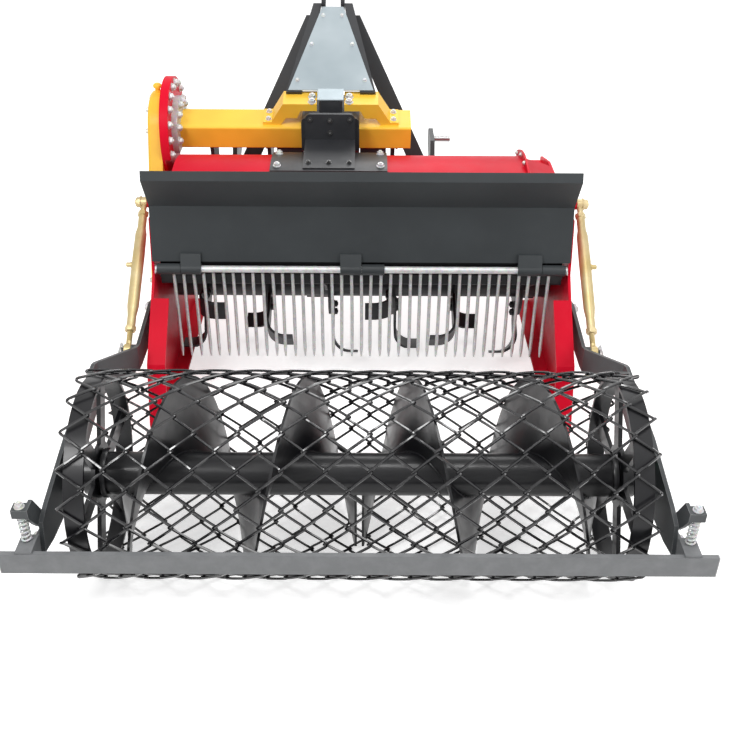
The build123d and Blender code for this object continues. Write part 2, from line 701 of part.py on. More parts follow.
# Saddle ribs between the hood and the drive line, (left face along X)
beam_frame = Plane(
    origin=(0, BEAM_Y, BEAM_Z),
    x_dir=(1, 0, 0),
    z_dir=(0, -sin(radians(BEAM_TILT)), cos(radians(BEAM_TILT))),
)
with BuildPart() as beam_saddles:
    for x in (-480, -300, 90):
        with BuildSketch(Plane.YZ.offset(x)):
            with Locations(Location((BEAM_Y, BEAM_Z), BEAM_TILT)):
                with Locations((0, -BEAM_HEIGHT / 2 - SEAT)):
                    Rectangle(BEAM_DEPTH - 10, 160, align=(Align.CENTER, Align.MAX))
            with Locations((HOOD_Y, HOOD_Z)):
                Circle(HOOD_R + SEAT, mode=Mode.SUBTRACT)
            with Locations((HOOD_Y, HOOD_Z)):
                Rectangle(1000, 1000, align=(Align.CENTER, Align.MAX), mode=Mode.SUBTRACT)
            with Locations((HOOD_Y + HOOD_R - 10, HOOD_Z)):
                Rectangle(1000, 1000, align=(Align.MIN, Align.CENTER), mode=Mode.SUBTRACT)
        extrude(amount=12)
finish(beam_saddles, "beam_saddles")

# Bent brackets on the beam that carry the mast, (distance from the gearbox middle, height)
BRACKET_LINE = ((210, 0), (178, 0), (140, 64), (42, 64))
SKIRT_LINE = ((186, SEAT), (140, 64), (42, 64), (42, 50), (92, 50), (104, 24), (138, 24), (156, SEAT))
BRACKET_PLATE = 10
BRACKET_HALF = 36
for side, hand in SIDES:
    line = [(GEARBOX_X + side * x, BEAM_HEIGHT / 2 + z) for x, z in BRACKET_LINE]
    skirt = [(GEARBOX_X + side * x, BEAM_HEIGHT / 2 + z) for x, z in SKIRT_LINE]
    middle = Plane(beam_frame.origin, x_dir=(1, 0, 0), z_dir=-beam_frame.y_dir)
    with BuildPart() as bracket:
        with BuildSketch(middle):
            with BuildLine():
                Polyline(*bent_plate(line, -side * BRACKET_PLATE), close=True)
            make_face()
        extrude(amount=BRACKET_HALF, both=True)
        with BuildSketch(middle.offset(BRACKET_HALF - BRACKET_PLATE)):
            with BuildLine():
                Polyline(*skirt, close=True)
            make_face()
        extrude(amount=BRACKET_PLATE)
    finish(bracket, f"beam_bracket_{hand}")

# Mast: two sloping stays under a tapered cover, from the brackets to the top link
bracket_top = BEAM_HEIGHT / 2 + BRACKET_LINE[-1][1] + BRACKET_PLATE
STAY_SEAT = 18
STAY_PLATE = 10
COVER_FOOT = 131
COVER_TOP = 34
COVER_SHORT = 48
COVER_SHEET = 3
tilt = radians(BEAM_TILT)
STAY_FOOT = (
    BEAM_Y + STAY_SEAT * cos(tilt) - bracket_top * sin(tilt),
    BEAM_Z + STAY_SEAT * sin(tilt) + bracket_top * cos(tilt) + SEAT,
)
stay_run = (TOP_Y - STAY_FOOT[0], TOP_Z + 5 - STAY_FOOT[1])
stay_length = sqrt(stay_run[0] ** 2 + stay_run[1] ** 2)
stay_plane = Plane(
    origin=(GEARBOX_X, STAY_FOOT[0], STAY_FOOT[1]),
    x_dir=(1, 0, 0),
    z_dir=(0, -stay_run[1] / stay_length, stay_run[0] / stay_length),
)
for side, hand in SIDES:
    with BuildPart() as stay:
        with BuildSketch(stay_plane):
            with BuildLine():
                Polyline(
                    (side * 90, 0),
                    (side * 138, 0),
                    (side * (CLEVIS_OUT + 26), stay_length - 30),
                    (side * (CLEVIS_OUT + SEAT), stay_length - 30),
                    close=True,
                )
            make_face()
        extrude(amount=STAY_PLATE)
    finish(stay, f"mast_stay_{hand}")
with BuildPart() as mast_cover:
    with BuildSketch(stay_plane.offset(STAY_PLATE)):
        with BuildLine():
            Polyline(
                (-COVER_FOOT, 6),
                (COVER_FOOT, 6),
                (COVER_TOP, stay_length - COVER_SHORT),
                (-COVER_TOP, stay_length - COVER_SHORT),
                close=True,
            )
        make_face()
    extrude(amount=COVER_SHEET)
finish(mast_cover, "mast_cover")

# Top link clevis
with BuildPart() as top_clevis:
    for side, hand in SIDES:
        start = GEARBOX_X + (TOP_GAP / 2 if side > 0 else -CLEVIS_OUT)
        with BuildSketch(Plane.YZ.offset(start)):
            with Locations((TOP_Y, TOP_Z)):
                Circle(CLEVIS_R)
            with BuildLine():
                Polyline(
                    (TOP_Y - 84, TOP_Z - 62),
                    (TOP_Y - 30, TOP_Z - 20),
                    (TOP_Y + 30, TOP_Z - 20),
                    (TOP_Y + 10, TOP_Z - 90),
                    (TOP_Y - 50, TOP_Z - 90),
                    close=True,
                )
            make_face()
            with Locations((TOP_Y, TOP_Z)):
                Circle(TOP_BORE_R, mode=Mode.SUBTRACT)
        extrude(amount=CLEVIS_PLATE)
    with BuildSketch(Plane.YZ.offset(GEARBOX_X - TOP_GAP / 2)):
        with Locations((TOP_Y - 66, TOP_Z - 56)):
            Rectangle(24, 24)
    extrude(amount=TOP_GAP)
finish(top_clevis, "top_clevis")

# Hitch beam across the front, with ears for the lower links
with BuildPart() as hitch_beam:
    with BuildSketch(Plane.YZ.offset(-INNER_HALF)):
        with Locations((HITCH_BEAM_Y, HITCH_BEAM_Z)):
            Rectangle(HITCH_BEAM, HITCH_BEAM)
            Rectangle(HITCH_BEAM - 2 * HITCH_BEAM_WALL, HITCH_BEAM - 2 * HITCH_BEAM_WALL, mode=Mode.SUBTRACT)
    extrude(amount=2 * INNER_HALF)
finish(hitch_beam, "hitch_beam")

BEAM_FRONT = HITCH_BEAM_Y + HITCH_BEAM / 2
for side, hand in SIDES:
    shoulder = GEARBOX_X + side * HITCH_SPREAD / 2
    inner = shoulder - side * EAR_PLATE
    with BuildPart() as ear:
        with BuildSketch(Plane.YZ.offset(min(shoulder, inner))):
            with Locations((HITCH_Y, HITCH_Z)):
                Circle(EAR_R)
            with BuildLine():
                Polyline(
                    (BEAM_FRONT, HITCH_BEAM_Z + HITCH_BEAM / 2),
                    (BEAM_FRONT, HITCH_BEAM_Z - HITCH_BEAM / 2),
                    (HITCH_Y + 0.4 * EAR_R, HITCH_Z - 0.91 * EAR_R),
                    (HITCH_Y, HITCH_Z + EAR_R),
                    (BEAM_FRONT + 30, HITCH_Z + EAR_R),
                    close=True,
                )
            make_face()
        extrude(amount=EAR_PLATE)
    finish(ear, f"hitch_ear_{hand}")
    with BuildPart() as pin:
        with BuildSketch(Plane.YZ.offset(shoulder)):
            with Locations((HITCH_Y, HITCH_Z)):
                Circle(HITCH_PIN_R)
        extrude(amount=side * HITCH_PIN_LENGTH)
    finish(pin, f"hitch_pin_{hand}")

# Mast legs from the hitch beam up to the clevis
LEG_PLATE = 12
LEG_FOOT = (HITCH_BEAM_Y + 22, HITCH_BEAM_Z + HITCH_BEAM / 2)
leg_run = (TOP_Y - 30 - LEG_FOOT[0], TOP_Z - 40 - LEG_FOOT[1])
leg_length = sqrt(leg_run[0] ** 2 + leg_run[1] ** 2)
leg_rise = (SEAT * leg_length + LEG_PLATE * leg_run[0]) / leg_run[1]
leg_plane = Plane(
    origin=(GEARBOX_X, LEG_FOOT[0], LEG_FOOT[1]),
    x_dir=(1, 0, 0),
    z_dir=(0, -leg_run[1] / leg_length, leg_run[0] / leg_length),
)
for side, hand in SIDES:
    with BuildPart() as leg:
        with BuildSketch(leg_plane):
            with BuildLine():
                Polyline(
                    (side * 250, leg_rise),
                    (side * 310, leg_rise),
                    (side * (CLEVIS_OUT + 50), leg_length),
                    (side * (CLEVIS_OUT + SEAT), leg_length),
                    close=True,
                )
            make_face()
        extrude(amount=-LEG_PLATE)
    finish(leg, f"mast_leg_{hand}")

# Roller arms: side outline cut through a plan strip that steps out beside the roller
STEP_REAR = ROLLER_Y + ROLLER_R + 80
STEP_FRONT = ROLLER_Y + ROLLER_R + 250
ARM_TOP = [
    (ARM_PIVOT_Y - 70, ARM_PIVOT_Z + 56),
    (ROD_LOW_Y + 10, ROD_LOW_Z + 12),
    *at_roller([(ROLLER_R + 60, 108), (20, 90), (70 - ROLLER_R, 54)]),
]
ARM_LOW = [
    *at_roller([(28 - ROLLER_R, 40), (10 - ROLLER_R, -30), (70 - ROLLER_R, -45), (-20, -60)]),
    *at_roller([(ROLLER_R + 60, -2)]),
    (ROD_LOW_Y + 10, ROD_LOW_Z - 54),
    (ARM_PIVOT_Y - ARM_END_R, ARM_PIVOT_Z - 34),
]
ARM_PLAN = (
    (ARM_PIVOT_Y + 60, ARM_FRONT_X),
    (STEP_FRONT, ARM_FRONT_X),
    (STEP_REAR, ARM_REAR_X),
    (ROLLER_Y - ROLLER_R - 50, ARM_REAR_X),
)
for side, hand in SIDES:
    plan = [(side * x, y) for y, x in ARM_PLAN]
    with BuildPart() as arm:
        with BuildSketch(Plane.YZ.offset(side * (ARM_FRONT_X - ARM_PLATE))):
            with Locations((ARM_PIVOT_Y, ARM_PIVOT_Z)):
                Circle(ARM_END_R)
            with BuildLine():
                Polyline((ARM_PIVOT_Y, ARM_PIVOT_Z + ARM_END_R), *ARM_TOP, *ARM_LOW,
                         (ARM_PIVOT_Y, ARM_PIVOT_Z - ARM_END_R), close=True)
            make_face()
        extrude(amount=side * (ARM_STEP + 4 * ARM_PLATE))
        with BuildSketch(Plane.XY):
            with BuildLine():
                Polyline(*bent_plate(plan, side * ARM_PLATE), close=True)
            make_face()
        extrude(amount=3 * ROLLER_R, mode=Mode.INTERSECT)
        with BuildSketch(Plane.YZ.offset(side * (ARM_FRONT_X - 1))):
            with Locations((ARM_PIVOT_Y, ARM_PIVOT_Z)):
                Circle(ARM_PIN_R + RUNNING_FIT)
        extrude(amount=side * (ARM_PLATE + 2), mode=Mode.SUBTRACT)
        with BuildSketch(Plane.YZ.offset(side * (ARM_FRONT_X + ARM_PLATE))):
            with Locations((ROD_LOW_Y, ROD_LOW_Z)):
                Circle(ROD_EYE_R)
        extrude(amount=side * (ROD_STAND - ROD_EYE_HALF - ARM_PLATE - SIDE_PLAY))
        with BuildSketch(Plane.YZ.offset(side * (ARM_FRONT_X + ARM_PLATE))):
            with Locations((ROD_LOW_Y, ROD_LOW_Z)):
                Circle(ROD_PIN_R)
        extrude(amount=side * (ROD_STAND - ARM_PLATE + ROD_PIN_END))
    finish(arm, f"arm_{hand}")
    with BuildPart() as bearing:
        with BuildSketch(Plane.YZ.offset(side * ARM_REAR_X)):
            with Locations((ROLLER_Y, ROLLER_R)):
                Circle(BEARING_R)
                Circle(ROLLER_STUB_R + RUNNING_FIT, mode=Mode.SUBTRACT)
        extrude(amount=-side * (ROLLER_END_GAP - BEARING_GAP))
    finish(bearing, f"roller_bearing_{hand}")

# Adjusting rods, each a tube on the frame and a screw that slides in it, in a frame along the rod
rod_drop = (ROD_LOW_Y - ROD_TOP_Y, ROD_LOW_Z - ROD_TOP_Z)
rod_length = sqrt(rod_drop[0] ** 2 + rod_drop[1] ** 2)
rod_dir = (0, rod_drop[0] / rod_length, rod_drop[1] / rod_length)
ROD_TUBE_END = rod_length - ROD_OPEN
for side, hand in SIDES:
    rod_base = Plane(origin=(side * ROD_X, ROD_TOP_Y, ROD_TOP_Z), x_dir=(1, 0, 0), z_dir=rod_dir)
    with BuildPart() as rod_tube:
        with BuildSketch(Plane.YZ.offset(side * ROD_X - ROD_EYE_HALF)):
            with Locations((ROD_TOP_Y, ROD_TOP_Z)):
                Circle(ROD_EYE_R)
        extrude(amount=2 * ROD_EYE_HALF)
        with BuildSketch(rod_base):
            Circle(ROD_SCREW_R)
        extrude(amount=ROD_NECK + 4)
        with BuildSketch(rod_base.offset(ROD_NECK)):
            Circle(ROD_R)
        extrude(amount=ROD_TUBE_END - ROD_NECK)
        with BuildSketch(rod_base.offset(ROD_NECK - ROD_COLLAR)):
            RegularPolygon(ROD_COLLAR_R, 6)
        extrude(amount=ROD_COLLAR)
        with BuildSketch(rod_base.offset(ROD_TUBE_END)):
            RegularPolygon(ROD_COLLAR_R, 6)
        extrude(amount=ROD_NUT)
        with BuildSketch(Plane.YZ.offset(side * ROD_X - ROD_EYE_HALF)):
            with Locations((ROD_TOP_Y, ROD_TOP_Z)):
                Circle(ROD_PIN_R + RUNNING_FIT)
        extrude(amount=2 * ROD_EYE_HALF, mode=Mode.SUBTRACT)
        with BuildSketch(rod_base.offset(ROD_NECK + 20)):
            Circle(ROD_SCREW_R + RUNNING_FIT)
        extrude(amount=rod_length, mode=Mode.SUBTRACT)
    finish(rod_tube, f"rod_tube_{hand}")
    with BuildPart() as rod_screw:
        with BuildSketch(Plane.YZ.offset(side * ROD_X - ROD_EYE_HALF)):
            with Locations((ROD_LOW_Y, ROD_LOW_Z)):
                Circle(ROD_LOW_EYE_R)
        extrude(amount=2 * ROD_EYE_HALF)
        with BuildSketch(rod_base.offset(rod_length - ROD_SCREW_LENGTH)):
            Circle(ROD_SCREW_R)
        extrude(amount=ROD_SCREW_LENGTH - ROD_LOW_EYE_R + 4)
        with BuildSketch(Plane.YZ.offset(side * ROD_X - ROD_EYE_HALF)):
            with Locations((ROD_LOW_Y, ROD_LOW_Z)):
                Circle(ROD_PIN_R + OPEN_PIVOT_PLAY)
        extrude(amount=2 * ROD_EYE_HALF, mode=Mode.SUBTRACT)
    finish(rod_screw, f"rod_screw_{hand}")

# Scraper bar with end levers, sprung against the arms
SCRAPER_BACK = ROLLER_Y - REAR_REACH
LEVER_X = ARM_REAR_X + ARM_PLATE + SIDE_PLAY
TAB_Z = SCRAPER_Z + SCRAPER_HEIGHT
with BuildPart() as scraper_bar:
    with BuildSketch(Plane.YZ.offset(-SCRAPER_HALF)):
        with BuildLine():
            Polyline(
                (SCRAPER_BACK, SCRAPER_Z + 8),
                (SCRAPER_BACK, TAB_Z),
                (SCRAPER_BACK + SCRAPER_THICK, TAB_Z),
                (SCRAPER_BACK + SCRAPER_THICK + 4, SCRAPER_Z),
                close=True,
            )
        make_face()
    extrude(amount=2 * SCRAPER_HALF)
    for side, hand in SIDES:
        with BuildSketch(Plane.YZ.offset(span(side, LEVER_X, LEVER_PLATE)[0])):
            with BuildLine():
                Polyline(
                    (SCRAPER_BACK + 4, SCRAPER_Z + 12),
                    (SCRAPER_BACK + 4, TAB_Z + TAB),
                    (SCRAPER_PIVOT_Y, SCRAPER_PIVOT_Z + 24),
                    (SCRAPER_PIVOT_Y + 22, SCRAPER_PIVOT_Z),
                    (SCRAPER_PIVOT_Y, SCRAPER_PIVOT_Z - 22),
                    close=True,
                )
            make_face()
        extrude(amount=LEVER_PLATE)
        with BuildSketch(Plane.XY.offset(TAB_Z)):
            with Locations((side * (LEVER_X + TAB_WIDTH / 2), SCRAPER_BACK + 2 + TAB_LENGTH / 2)):
                Rectangle(TAB_WIDTH, TAB_LENGTH)
        extrude(amount=TAB)
finish(scraper_bar, "scraper_bar")

SPRING_Y = SCRAPER_BACK + SPRING_AHEAD
SPRING_X = LEVER_X + TAB_WIDTH / 2 + 2
for side, hand in SIDES:
    with BuildPart() as spring_bracket:
        with BuildSketch(Plane.YZ.offset(span(side, LEVER_X, LEVER_PLATE)[0])):
            with BuildLine():
                Polyline(
                    (SPRING_Y - LUG_LENGTH / 2, LUG_Z),
                    (SPRING_Y - LUG_LENGTH / 2, LUG_Z + LUG),
                    (SPRING_Y + 24, LUG_Z + LUG),
                    (SPRING_Y + 66, LUG_Z - 46),
                    (SPRING_Y + 36, LUG_Z - 66),
                    (SPRING_Y + 14, LUG_Z - 40),
                    close=True,
                )
            make_face()
        extrude(amount=LEVER_PLATE)
        with BuildSketch(Plane.XY.offset(LUG_Z)):
            with Locations((side * (LEVER_X + TAB_WIDTH / 2), SPRING_Y)):
                Rectangle(TAB_WIDTH, LUG_LENGTH)
        extrude(amount=LUG)
    finish(spring_bracket, f"spring_bracket_{hand}")
    with BuildPart() as scraper_spring:
        low = TAB_Z + TAB + SEAT
        high = LUG_Z - SEAT
        step = (high - low) / SPRING_COILS
        with BuildSketch(Plane.XZ.offset(-SPRING_Y)):
            with BuildLine():
                ring = [(6, low)]
                for coil in range(SPRING_COILS):
                    ring += [(9, low + coil * step), (12, low + (coil + 0.5) * step)]
                ring += [(9, high), (6, high)]
                shifted = [(side * SPRING_X + x, z) for x, z in ring]
                Polyline(*shifted, close=True)
            make_face()
        revolve(axis=Axis((side * SPRING_X, SPRING_Y, 0), (0, 0, 1)))
    finish(scraper_spring, f"scraper_spring_{hand}")

# Roller: tube with stub shafts
with BuildPart() as roller_tube:
    with BuildSketch(Plane.YZ.offset(-ROLLER_TUBE_HALF)):
        with Locations((ROLLER_Y, ROLLER_R)):
            Circle(ROLLER_TUBE_R)
            Circle(ROLLER_TUBE_R - ROLLER_TUBE_WALL, mode=Mode.SUBTRACT)
    extrude(amount=2 * ROLLER_TUBE_HALF)
    for side, hand in SIDES:
        with BuildSketch(Plane.YZ.offset(side * (ROLLER_TUBE_HALF - 20))):
            with Locations((ROLLER_Y, ROLLER_R)):
                Circle(ROLLER_TUBE_R)
        extrude(amount=side * 20)
        with BuildSketch(Plane.YZ.offset(side * ROLLER_TUBE_HALF)):
            with Locations((ROLLER_Y, ROLLER_R)):
                Circle(ROLLER_STUB_R)
        extrude(amount=side * (ROLLER_END_GAP - 1))
finish(roller_tube, "roller_tube")

# End wheels: rim and flat spokes
MESH_INNER = ROLLER_R - MESH_DEPTH - WIRE_OUT - WIRE_IN
RIM_R = MESH_INNER - SEAT
for side, hand in SIDES:
    start = side * WHEEL_MID - WHEEL_WIDTH / 2
    with BuildPart() as wheel:
        with BuildSketch(Plane.YZ.offset(start)):
            with Locations((ROLLER_Y, ROLLER_R)):
                Circle(RIM_R)
                Circle(RIM_R - WHEEL_RIM, mode=Mode.SUBTRACT)
        extrude(amount=WHEEL_WIDTH)
        with BuildSketch(Plane.YZ.offset(side * WHEEL_MID - SPOKE_THICK / 2)):
            with Locations((ROLLER_Y, ROLLER_R)):
                Circle(ROLLER_TUBE_R + WHEEL_HUB)
                with PolarLocations(0, SPOKES):
                    Rectangle(RIM_R - WHEEL_RIM / 2, SPOKE_WIDTH, align=(Align.MIN, Align.CENTER))
                Circle(ROLLER_TUBE_R + SEAT, mode=Mode.SUBTRACT)
        extrude(amount=SPOKE_THICK)
    finish(wheel, f"roller_wheel_{hand}")

# Helical flights of opposite hand, as flat facets between radial edges
def flight(side):
    inner_r = (ROLLER_TUBE_R + SEAT) / cos(pi / FLIGHT_FACETS)
    outer_r = MESH_INNER - SEAT
    steps = FLIGHT_TURNS * FLIGHT_FACETS
    corners = []
    for step in range(steps + 1):
        angle = 2 * pi * step / FLIGHT_FACETS - pi / 2
        x = side * (FLIGHT_START + FLIGHT_PITCH * step / FLIGHT_FACETS)
        ring = []
        skins = ((inner_r, 0), (outer_r, 0), (outer_r, FLIGHT_SHEET), (inner_r, FLIGHT_SHEET))
        for radius, shift in skins:
            across = ROLLER_Y + radius * cos(angle)
            ring.append((x + side * shift, across, ROLLER_R + radius * sin(angle)))
        corners.append(ring)
    faces = [Face(Wire.make_polygon(corners[0])), Face(Wire.make_polygon(corners[-1]))]
    for near, far in zip(corners, corners[1:]):
        for here in range(4):
            there = (here + 1) % 4
            faces.append(Face(Wire.make_polygon([near[here], near[there], far[there]])))
            faces.append(Face(Wire.make_polygon([near[here], far[there], far[here]])))
    return Solid(Shell(faces))


with BuildPart() as roller_flights:
    add(flight(-1))
    add(flight(1))
finish(roller_flights, "roller_flights")


# Mesh: rings of zigzag wire, each hooked through the next
def mesh_ring(shift, turn):
    high = ROLLER_R - WIRE_OUT
    low = high - MESH_DEPTH
    half_row = (MESH_STEP + MESH_HOOK) / 2
    step = pi / MESH_DIAMONDS
    slope = atan2(step * (high + low) / 2, 2 * half_row)
    half_wide = MESH_WIRE / 2 / sin(slope)
    right = Vector(half_row, 0, high)
    left = Vector(-half_row, low * sin(step), low * cos(step))
    along = left - right
    mitre = Vector(0, cos(step), -sin(step))
    section = ((-half_wide, -WIRE_IN), (half_wide, -WIRE_IN), (0, WIRE_OUT))
    right_end = [right + Vector(dx, 0, dr) for dx, dr in section]
    left_end = [corner - along * (corner.dot(mitre) / along.dot(mitre)) for corner in right_end]
    left_end = [corner.rotate(Axis.X, degrees(step)) for corner in left_end]
    rings = []
    for corner in range(2 * MESH_DIAMONDS):
        ends = right_end if corner % 2 == 0 else left_end
        angle = degrees(turn - corner * step)
        rings.append([v.rotate(Axis.X, angle) + Vector(shift, ROLLER_Y, ROLLER_R) for v in ends])
    faces = []
    for near, far in zip(rings, rings[1:] + rings[:1]):
        faces += [
            Face(Wire.make_polygon([near[here], near[here - 1], far[here - 1], far[here]]))
            for here in range(3)
        ]
    return Solid(Shell(faces))


mesh_rings = []
for row in range(MESH_ROWS):
    row_x = (row - (MESH_ROWS - 1) / 2) * MESH_STEP
    mesh_rings.append(mesh_ring(row_x, (row % 2) * pi / MESH_DIAMONDS))
with BuildPart() as roller_mesh:
    add(mesh_rings)
finish(roller_mesh, "roller_mesh")
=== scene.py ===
# %% [markdown]
# # A stone burier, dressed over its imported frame
# The machine turns the top soil with a bladed rotor. Stones hit the hanging comb and drop first,
# fine soil flies through and covers them, and a wire mesh roller presses it flat.
# The steelwork is already modelled. This lesson gives it paint, zinc and gloss, weaves the roller's
# mesh from round wire, rolls the flights, and adds the bolts, springs and pins that hold it together.
# All lengths are in metres. X runs along the roller, Y ahead to the tractor, and Z up.

# %% Load the frame
import math
import bpy
import numpy as np
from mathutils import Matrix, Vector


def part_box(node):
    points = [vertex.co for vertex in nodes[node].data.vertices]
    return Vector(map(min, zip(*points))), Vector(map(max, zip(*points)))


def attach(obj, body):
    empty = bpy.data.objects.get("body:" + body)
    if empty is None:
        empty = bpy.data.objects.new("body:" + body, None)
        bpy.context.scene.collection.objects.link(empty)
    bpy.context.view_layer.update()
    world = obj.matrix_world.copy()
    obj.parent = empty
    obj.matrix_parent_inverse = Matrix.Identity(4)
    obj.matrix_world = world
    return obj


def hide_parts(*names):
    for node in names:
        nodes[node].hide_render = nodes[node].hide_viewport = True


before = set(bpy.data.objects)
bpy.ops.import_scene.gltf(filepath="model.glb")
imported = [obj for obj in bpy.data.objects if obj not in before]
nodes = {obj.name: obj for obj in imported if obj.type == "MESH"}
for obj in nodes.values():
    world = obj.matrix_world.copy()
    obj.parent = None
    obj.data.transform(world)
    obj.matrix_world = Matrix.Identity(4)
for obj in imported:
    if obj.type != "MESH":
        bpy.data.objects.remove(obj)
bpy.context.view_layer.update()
scene = bpy.context.scene

# %% [markdown]
# ## The camera
# The photographer stood behind the roller and looked down on it. The place comes from matching the
# roller's outline, the comb and the side plates' tips, which all stand on one floor.

# %% Camera
tube_low, tube_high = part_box("roller_tube")
ROLLER_Y = (tube_low.y + tube_high.y) / 2
ROLLER_Z = (tube_low.z + tube_high.z) / 2
EYE_BEHIND_ROLLER = 1.846
EYE_HEIGHT = 1.76
EYE_X = 0.012
EYE_PITCH = math.radians(33)
EYE_ROLL = math.radians(0.3)
FOCAL_PIXELS = 990
PICTURE_PIXELS = 730
SENSOR_WIDTH = 36

lens = bpy.data.cameras.new("eye")
lens.sensor_width = SENSOR_WIDTH
lens.lens = SENSOR_WIDTH * FOCAL_PIXELS / PICTURE_PIXELS
lens.clip_end = 50
eye = bpy.data.objects.new("eye", lens)
scene.collection.objects.link(eye)
eye.location = (EYE_X, ROLLER_Y - EYE_BEHIND_ROLLER, EYE_HEIGHT)
# The camera rolls about its own line of sight, then tips up about X: two quaternions, multiplied.
half_roll = EYE_ROLL / 2
half_tip = (math.pi / 2 - EYE_PITCH) / 2
eye.rotation_mode = "QUATERNION"
eye.rotation_quaternion = (
    math.cos(half_tip) * math.cos(half_roll),
    math.sin(half_tip) * math.cos(half_roll),
    -math.sin(half_tip) * math.sin(half_roll),
    math.cos(half_tip) * math.sin(half_roll),
)
scene.camera = eye
print("camera lens", round(lens.lens, 2), "mm at", tuple(round(v, 3) for v in eye.location))

# %% [markdown]
# ## A socket that does sums
# Shader maths is easier to read as Python. A Sum holds one socket, and each operator adds a Math node,
# so `1 - mask * 0.3` works from either side. The Shop makes every other node through one method.


# %% Shader maths
class Sum:
    """One socket of a shop's tree, which adds, subtracts and multiplies like a number."""

    def __init__(self, shop, socket):
        self.shop = shop
        self.socket = socket

    def __add__(self, other):
        return self.shop.math("ADD", self, other)

    def __radd__(self, other):
        return self.shop.math("ADD", other, self)

    def __sub__(self, other):
        return self.shop.math("SUBTRACT", self, other)

    def __rsub__(self, other):
        return self.shop.math("SUBTRACT", other, self)

    def __mul__(self, other):
        return self.shop.math("MULTIPLY", self, other)

    def __rmul__(self, other):
        return self.shop.math("MULTIPLY", other, self)

    def above(self, low, high):
        """0 up to low, 1 from high on, and a straight ramp between them."""
        sockets = {"Value": self, "From Min": low, "From Max": high}
        return self.shop.node("ShaderNodeMapRange", {"clamp": True}, sockets)


class Shop:
    """The bench of one material, or of the world: it makes nodes and feeds their shader."""

    def __init__(self, owner, shader="Principled BSDF"):
        owner.use_nodes = True
        self.owner = owner
        self.tree = owner.node_tree
        self.shader = self.tree.nodes[shader]

    def node(self, kind, settings=None, sockets=None, out=0):
        """Any node, with its settings, its input sockets by name or number, and the output to use."""
        made = self.tree.nodes.new(kind)
        for key, value in (settings or {}).items():
            setattr(made, key, value)
        self.feed(made, sockets or {})
        return Sum(self, made.outputs[out])

    def feed(self, made, sockets):
        """Link a Sum to its socket, or write a plain value into it."""
        for key, value in sockets.items():
            if isinstance(value, Sum):
                self.tree.links.new(value.socket, made.inputs[key])
            else:
                made.inputs[key].default_value = value

    def math(self, operation, *values):
        """A Math node over Sums and plain numbers."""
        return self.node("ShaderNodeMath", {"operation": operation}, dict(enumerate(values)))

    def place(self):
        """The point's place in the piece's own frame, so that a pattern rides with its body."""
        return self.node("ShaderNodeTexCoord", out="Object")

    def noise(self, scale, detail=4, rough=0.55, stretch=None):
        """Cloudy noise with about `scale` patches to the metre, times the stretch along each axis."""
        place = self.place()
        if stretch:
            place = self.node("ShaderNodeMapping", None, {"Vector": place, "Scale": stretch})
        sockets = {"Vector": place, "Scale": scale, "Detail": detail, "Roughness": rough}
        return self.node("ShaderNodeTexNoise", None, sockets)

    def mix(self, share, first, second):
        """A colour between two, each of them a Sum or three numbers."""
        first, second = (c if isinstance(c, Sum) else (*c, 1) for c in (first, second))
        return self.node("ShaderNodeMix", {"data_type": "RGBA"}, {0: share, 6: first, 7: second}, out=2)

    def bump(self, height, strength, distance):
        """A normal that leans with the height, which is worth `distance` metres at most."""
        sockets = {"Strength": strength, "Distance": distance, "Height": height}
        return self.node("ShaderNodeBump", None, sockets)

    def edges(self, radius):
        """1 on a sharp outer edge: one less the dot product of the rounded and the real normal."""
        rounded = self.node("ShaderNodeBevel", {"samples": 4}, {"Radius": radius})
        real = self.node("ShaderNodeNewGeometry", out="Normal")
        dot = self.node("ShaderNodeVectorMath", {"operation": "DOT_PRODUCT"}, {0: rounded, 1: real}, out=1)
        return (1 - dot).above(0.02, 0.25)

    def finish(self, **named):
        """Feed the shader itself, and hand over the material or the world."""
        self.feed(self.shader, {key.replace("_", " "): value for key, value in named.items()})
        return self.owner


def new_shop(name):
    """The bench of a new material."""
    return Shop(bpy.data.materials.new(name))


print("shader bench ready")

# %% [markdown]
# ## Paint
# Machine paint is sprayed thick on plate that was never ground smooth. It has a faint orange peel,
# a slow change of tone where the coat is thinner, and dust that dulls the gloss in patches.

# %% Paint finishes
COAT_PATCHES, DUST_PATCHES, PEEL_PATCHES = 3.5, 28, 420
ROAD_DUST, DARK_DUST = (0.45, 0.42, 0.38), (0.04, 0.04, 0.04)
BLACK = (0.006, 0.006, 0.0075)


def paint(name, colour, gloss, peel=0.25, dust=0.12, dusty=ROAD_DUST, coat=0.0, sheen=0.5):
    """Colour times a slow noise, mixed towards dust by a second noise; orange peel in the bump."""
    shop = new_shop(name)
    slow = shop.noise(COAT_PATCHES, 3)
    fine = shop.noise(PEEL_PATCHES, 2)
    mottled = shop.noise(DUST_PATCHES, 5, 0.6)
    deep = [v * 0.86 for v in colour]
    light = [min(1, v * 1.08) for v in colour]
    body = shop.mix(slow.above(0.35, 0.65), deep, light)
    return shop.finish(
        Base_Color=shop.mix(mottled.above(0.52, 0.78) * dust, body, dusty),
        Roughness=gloss + mottled.above(0.4, 0.8) * 0.10 + slow * 0.04,
        Specular_IOR_Level=sheen, Coat_Weight=coat, Coat_Roughness=0.08,
        Normal=shop.bump(fine * 0.5 + mottled * 0.5, peel, 0.0006),
    )


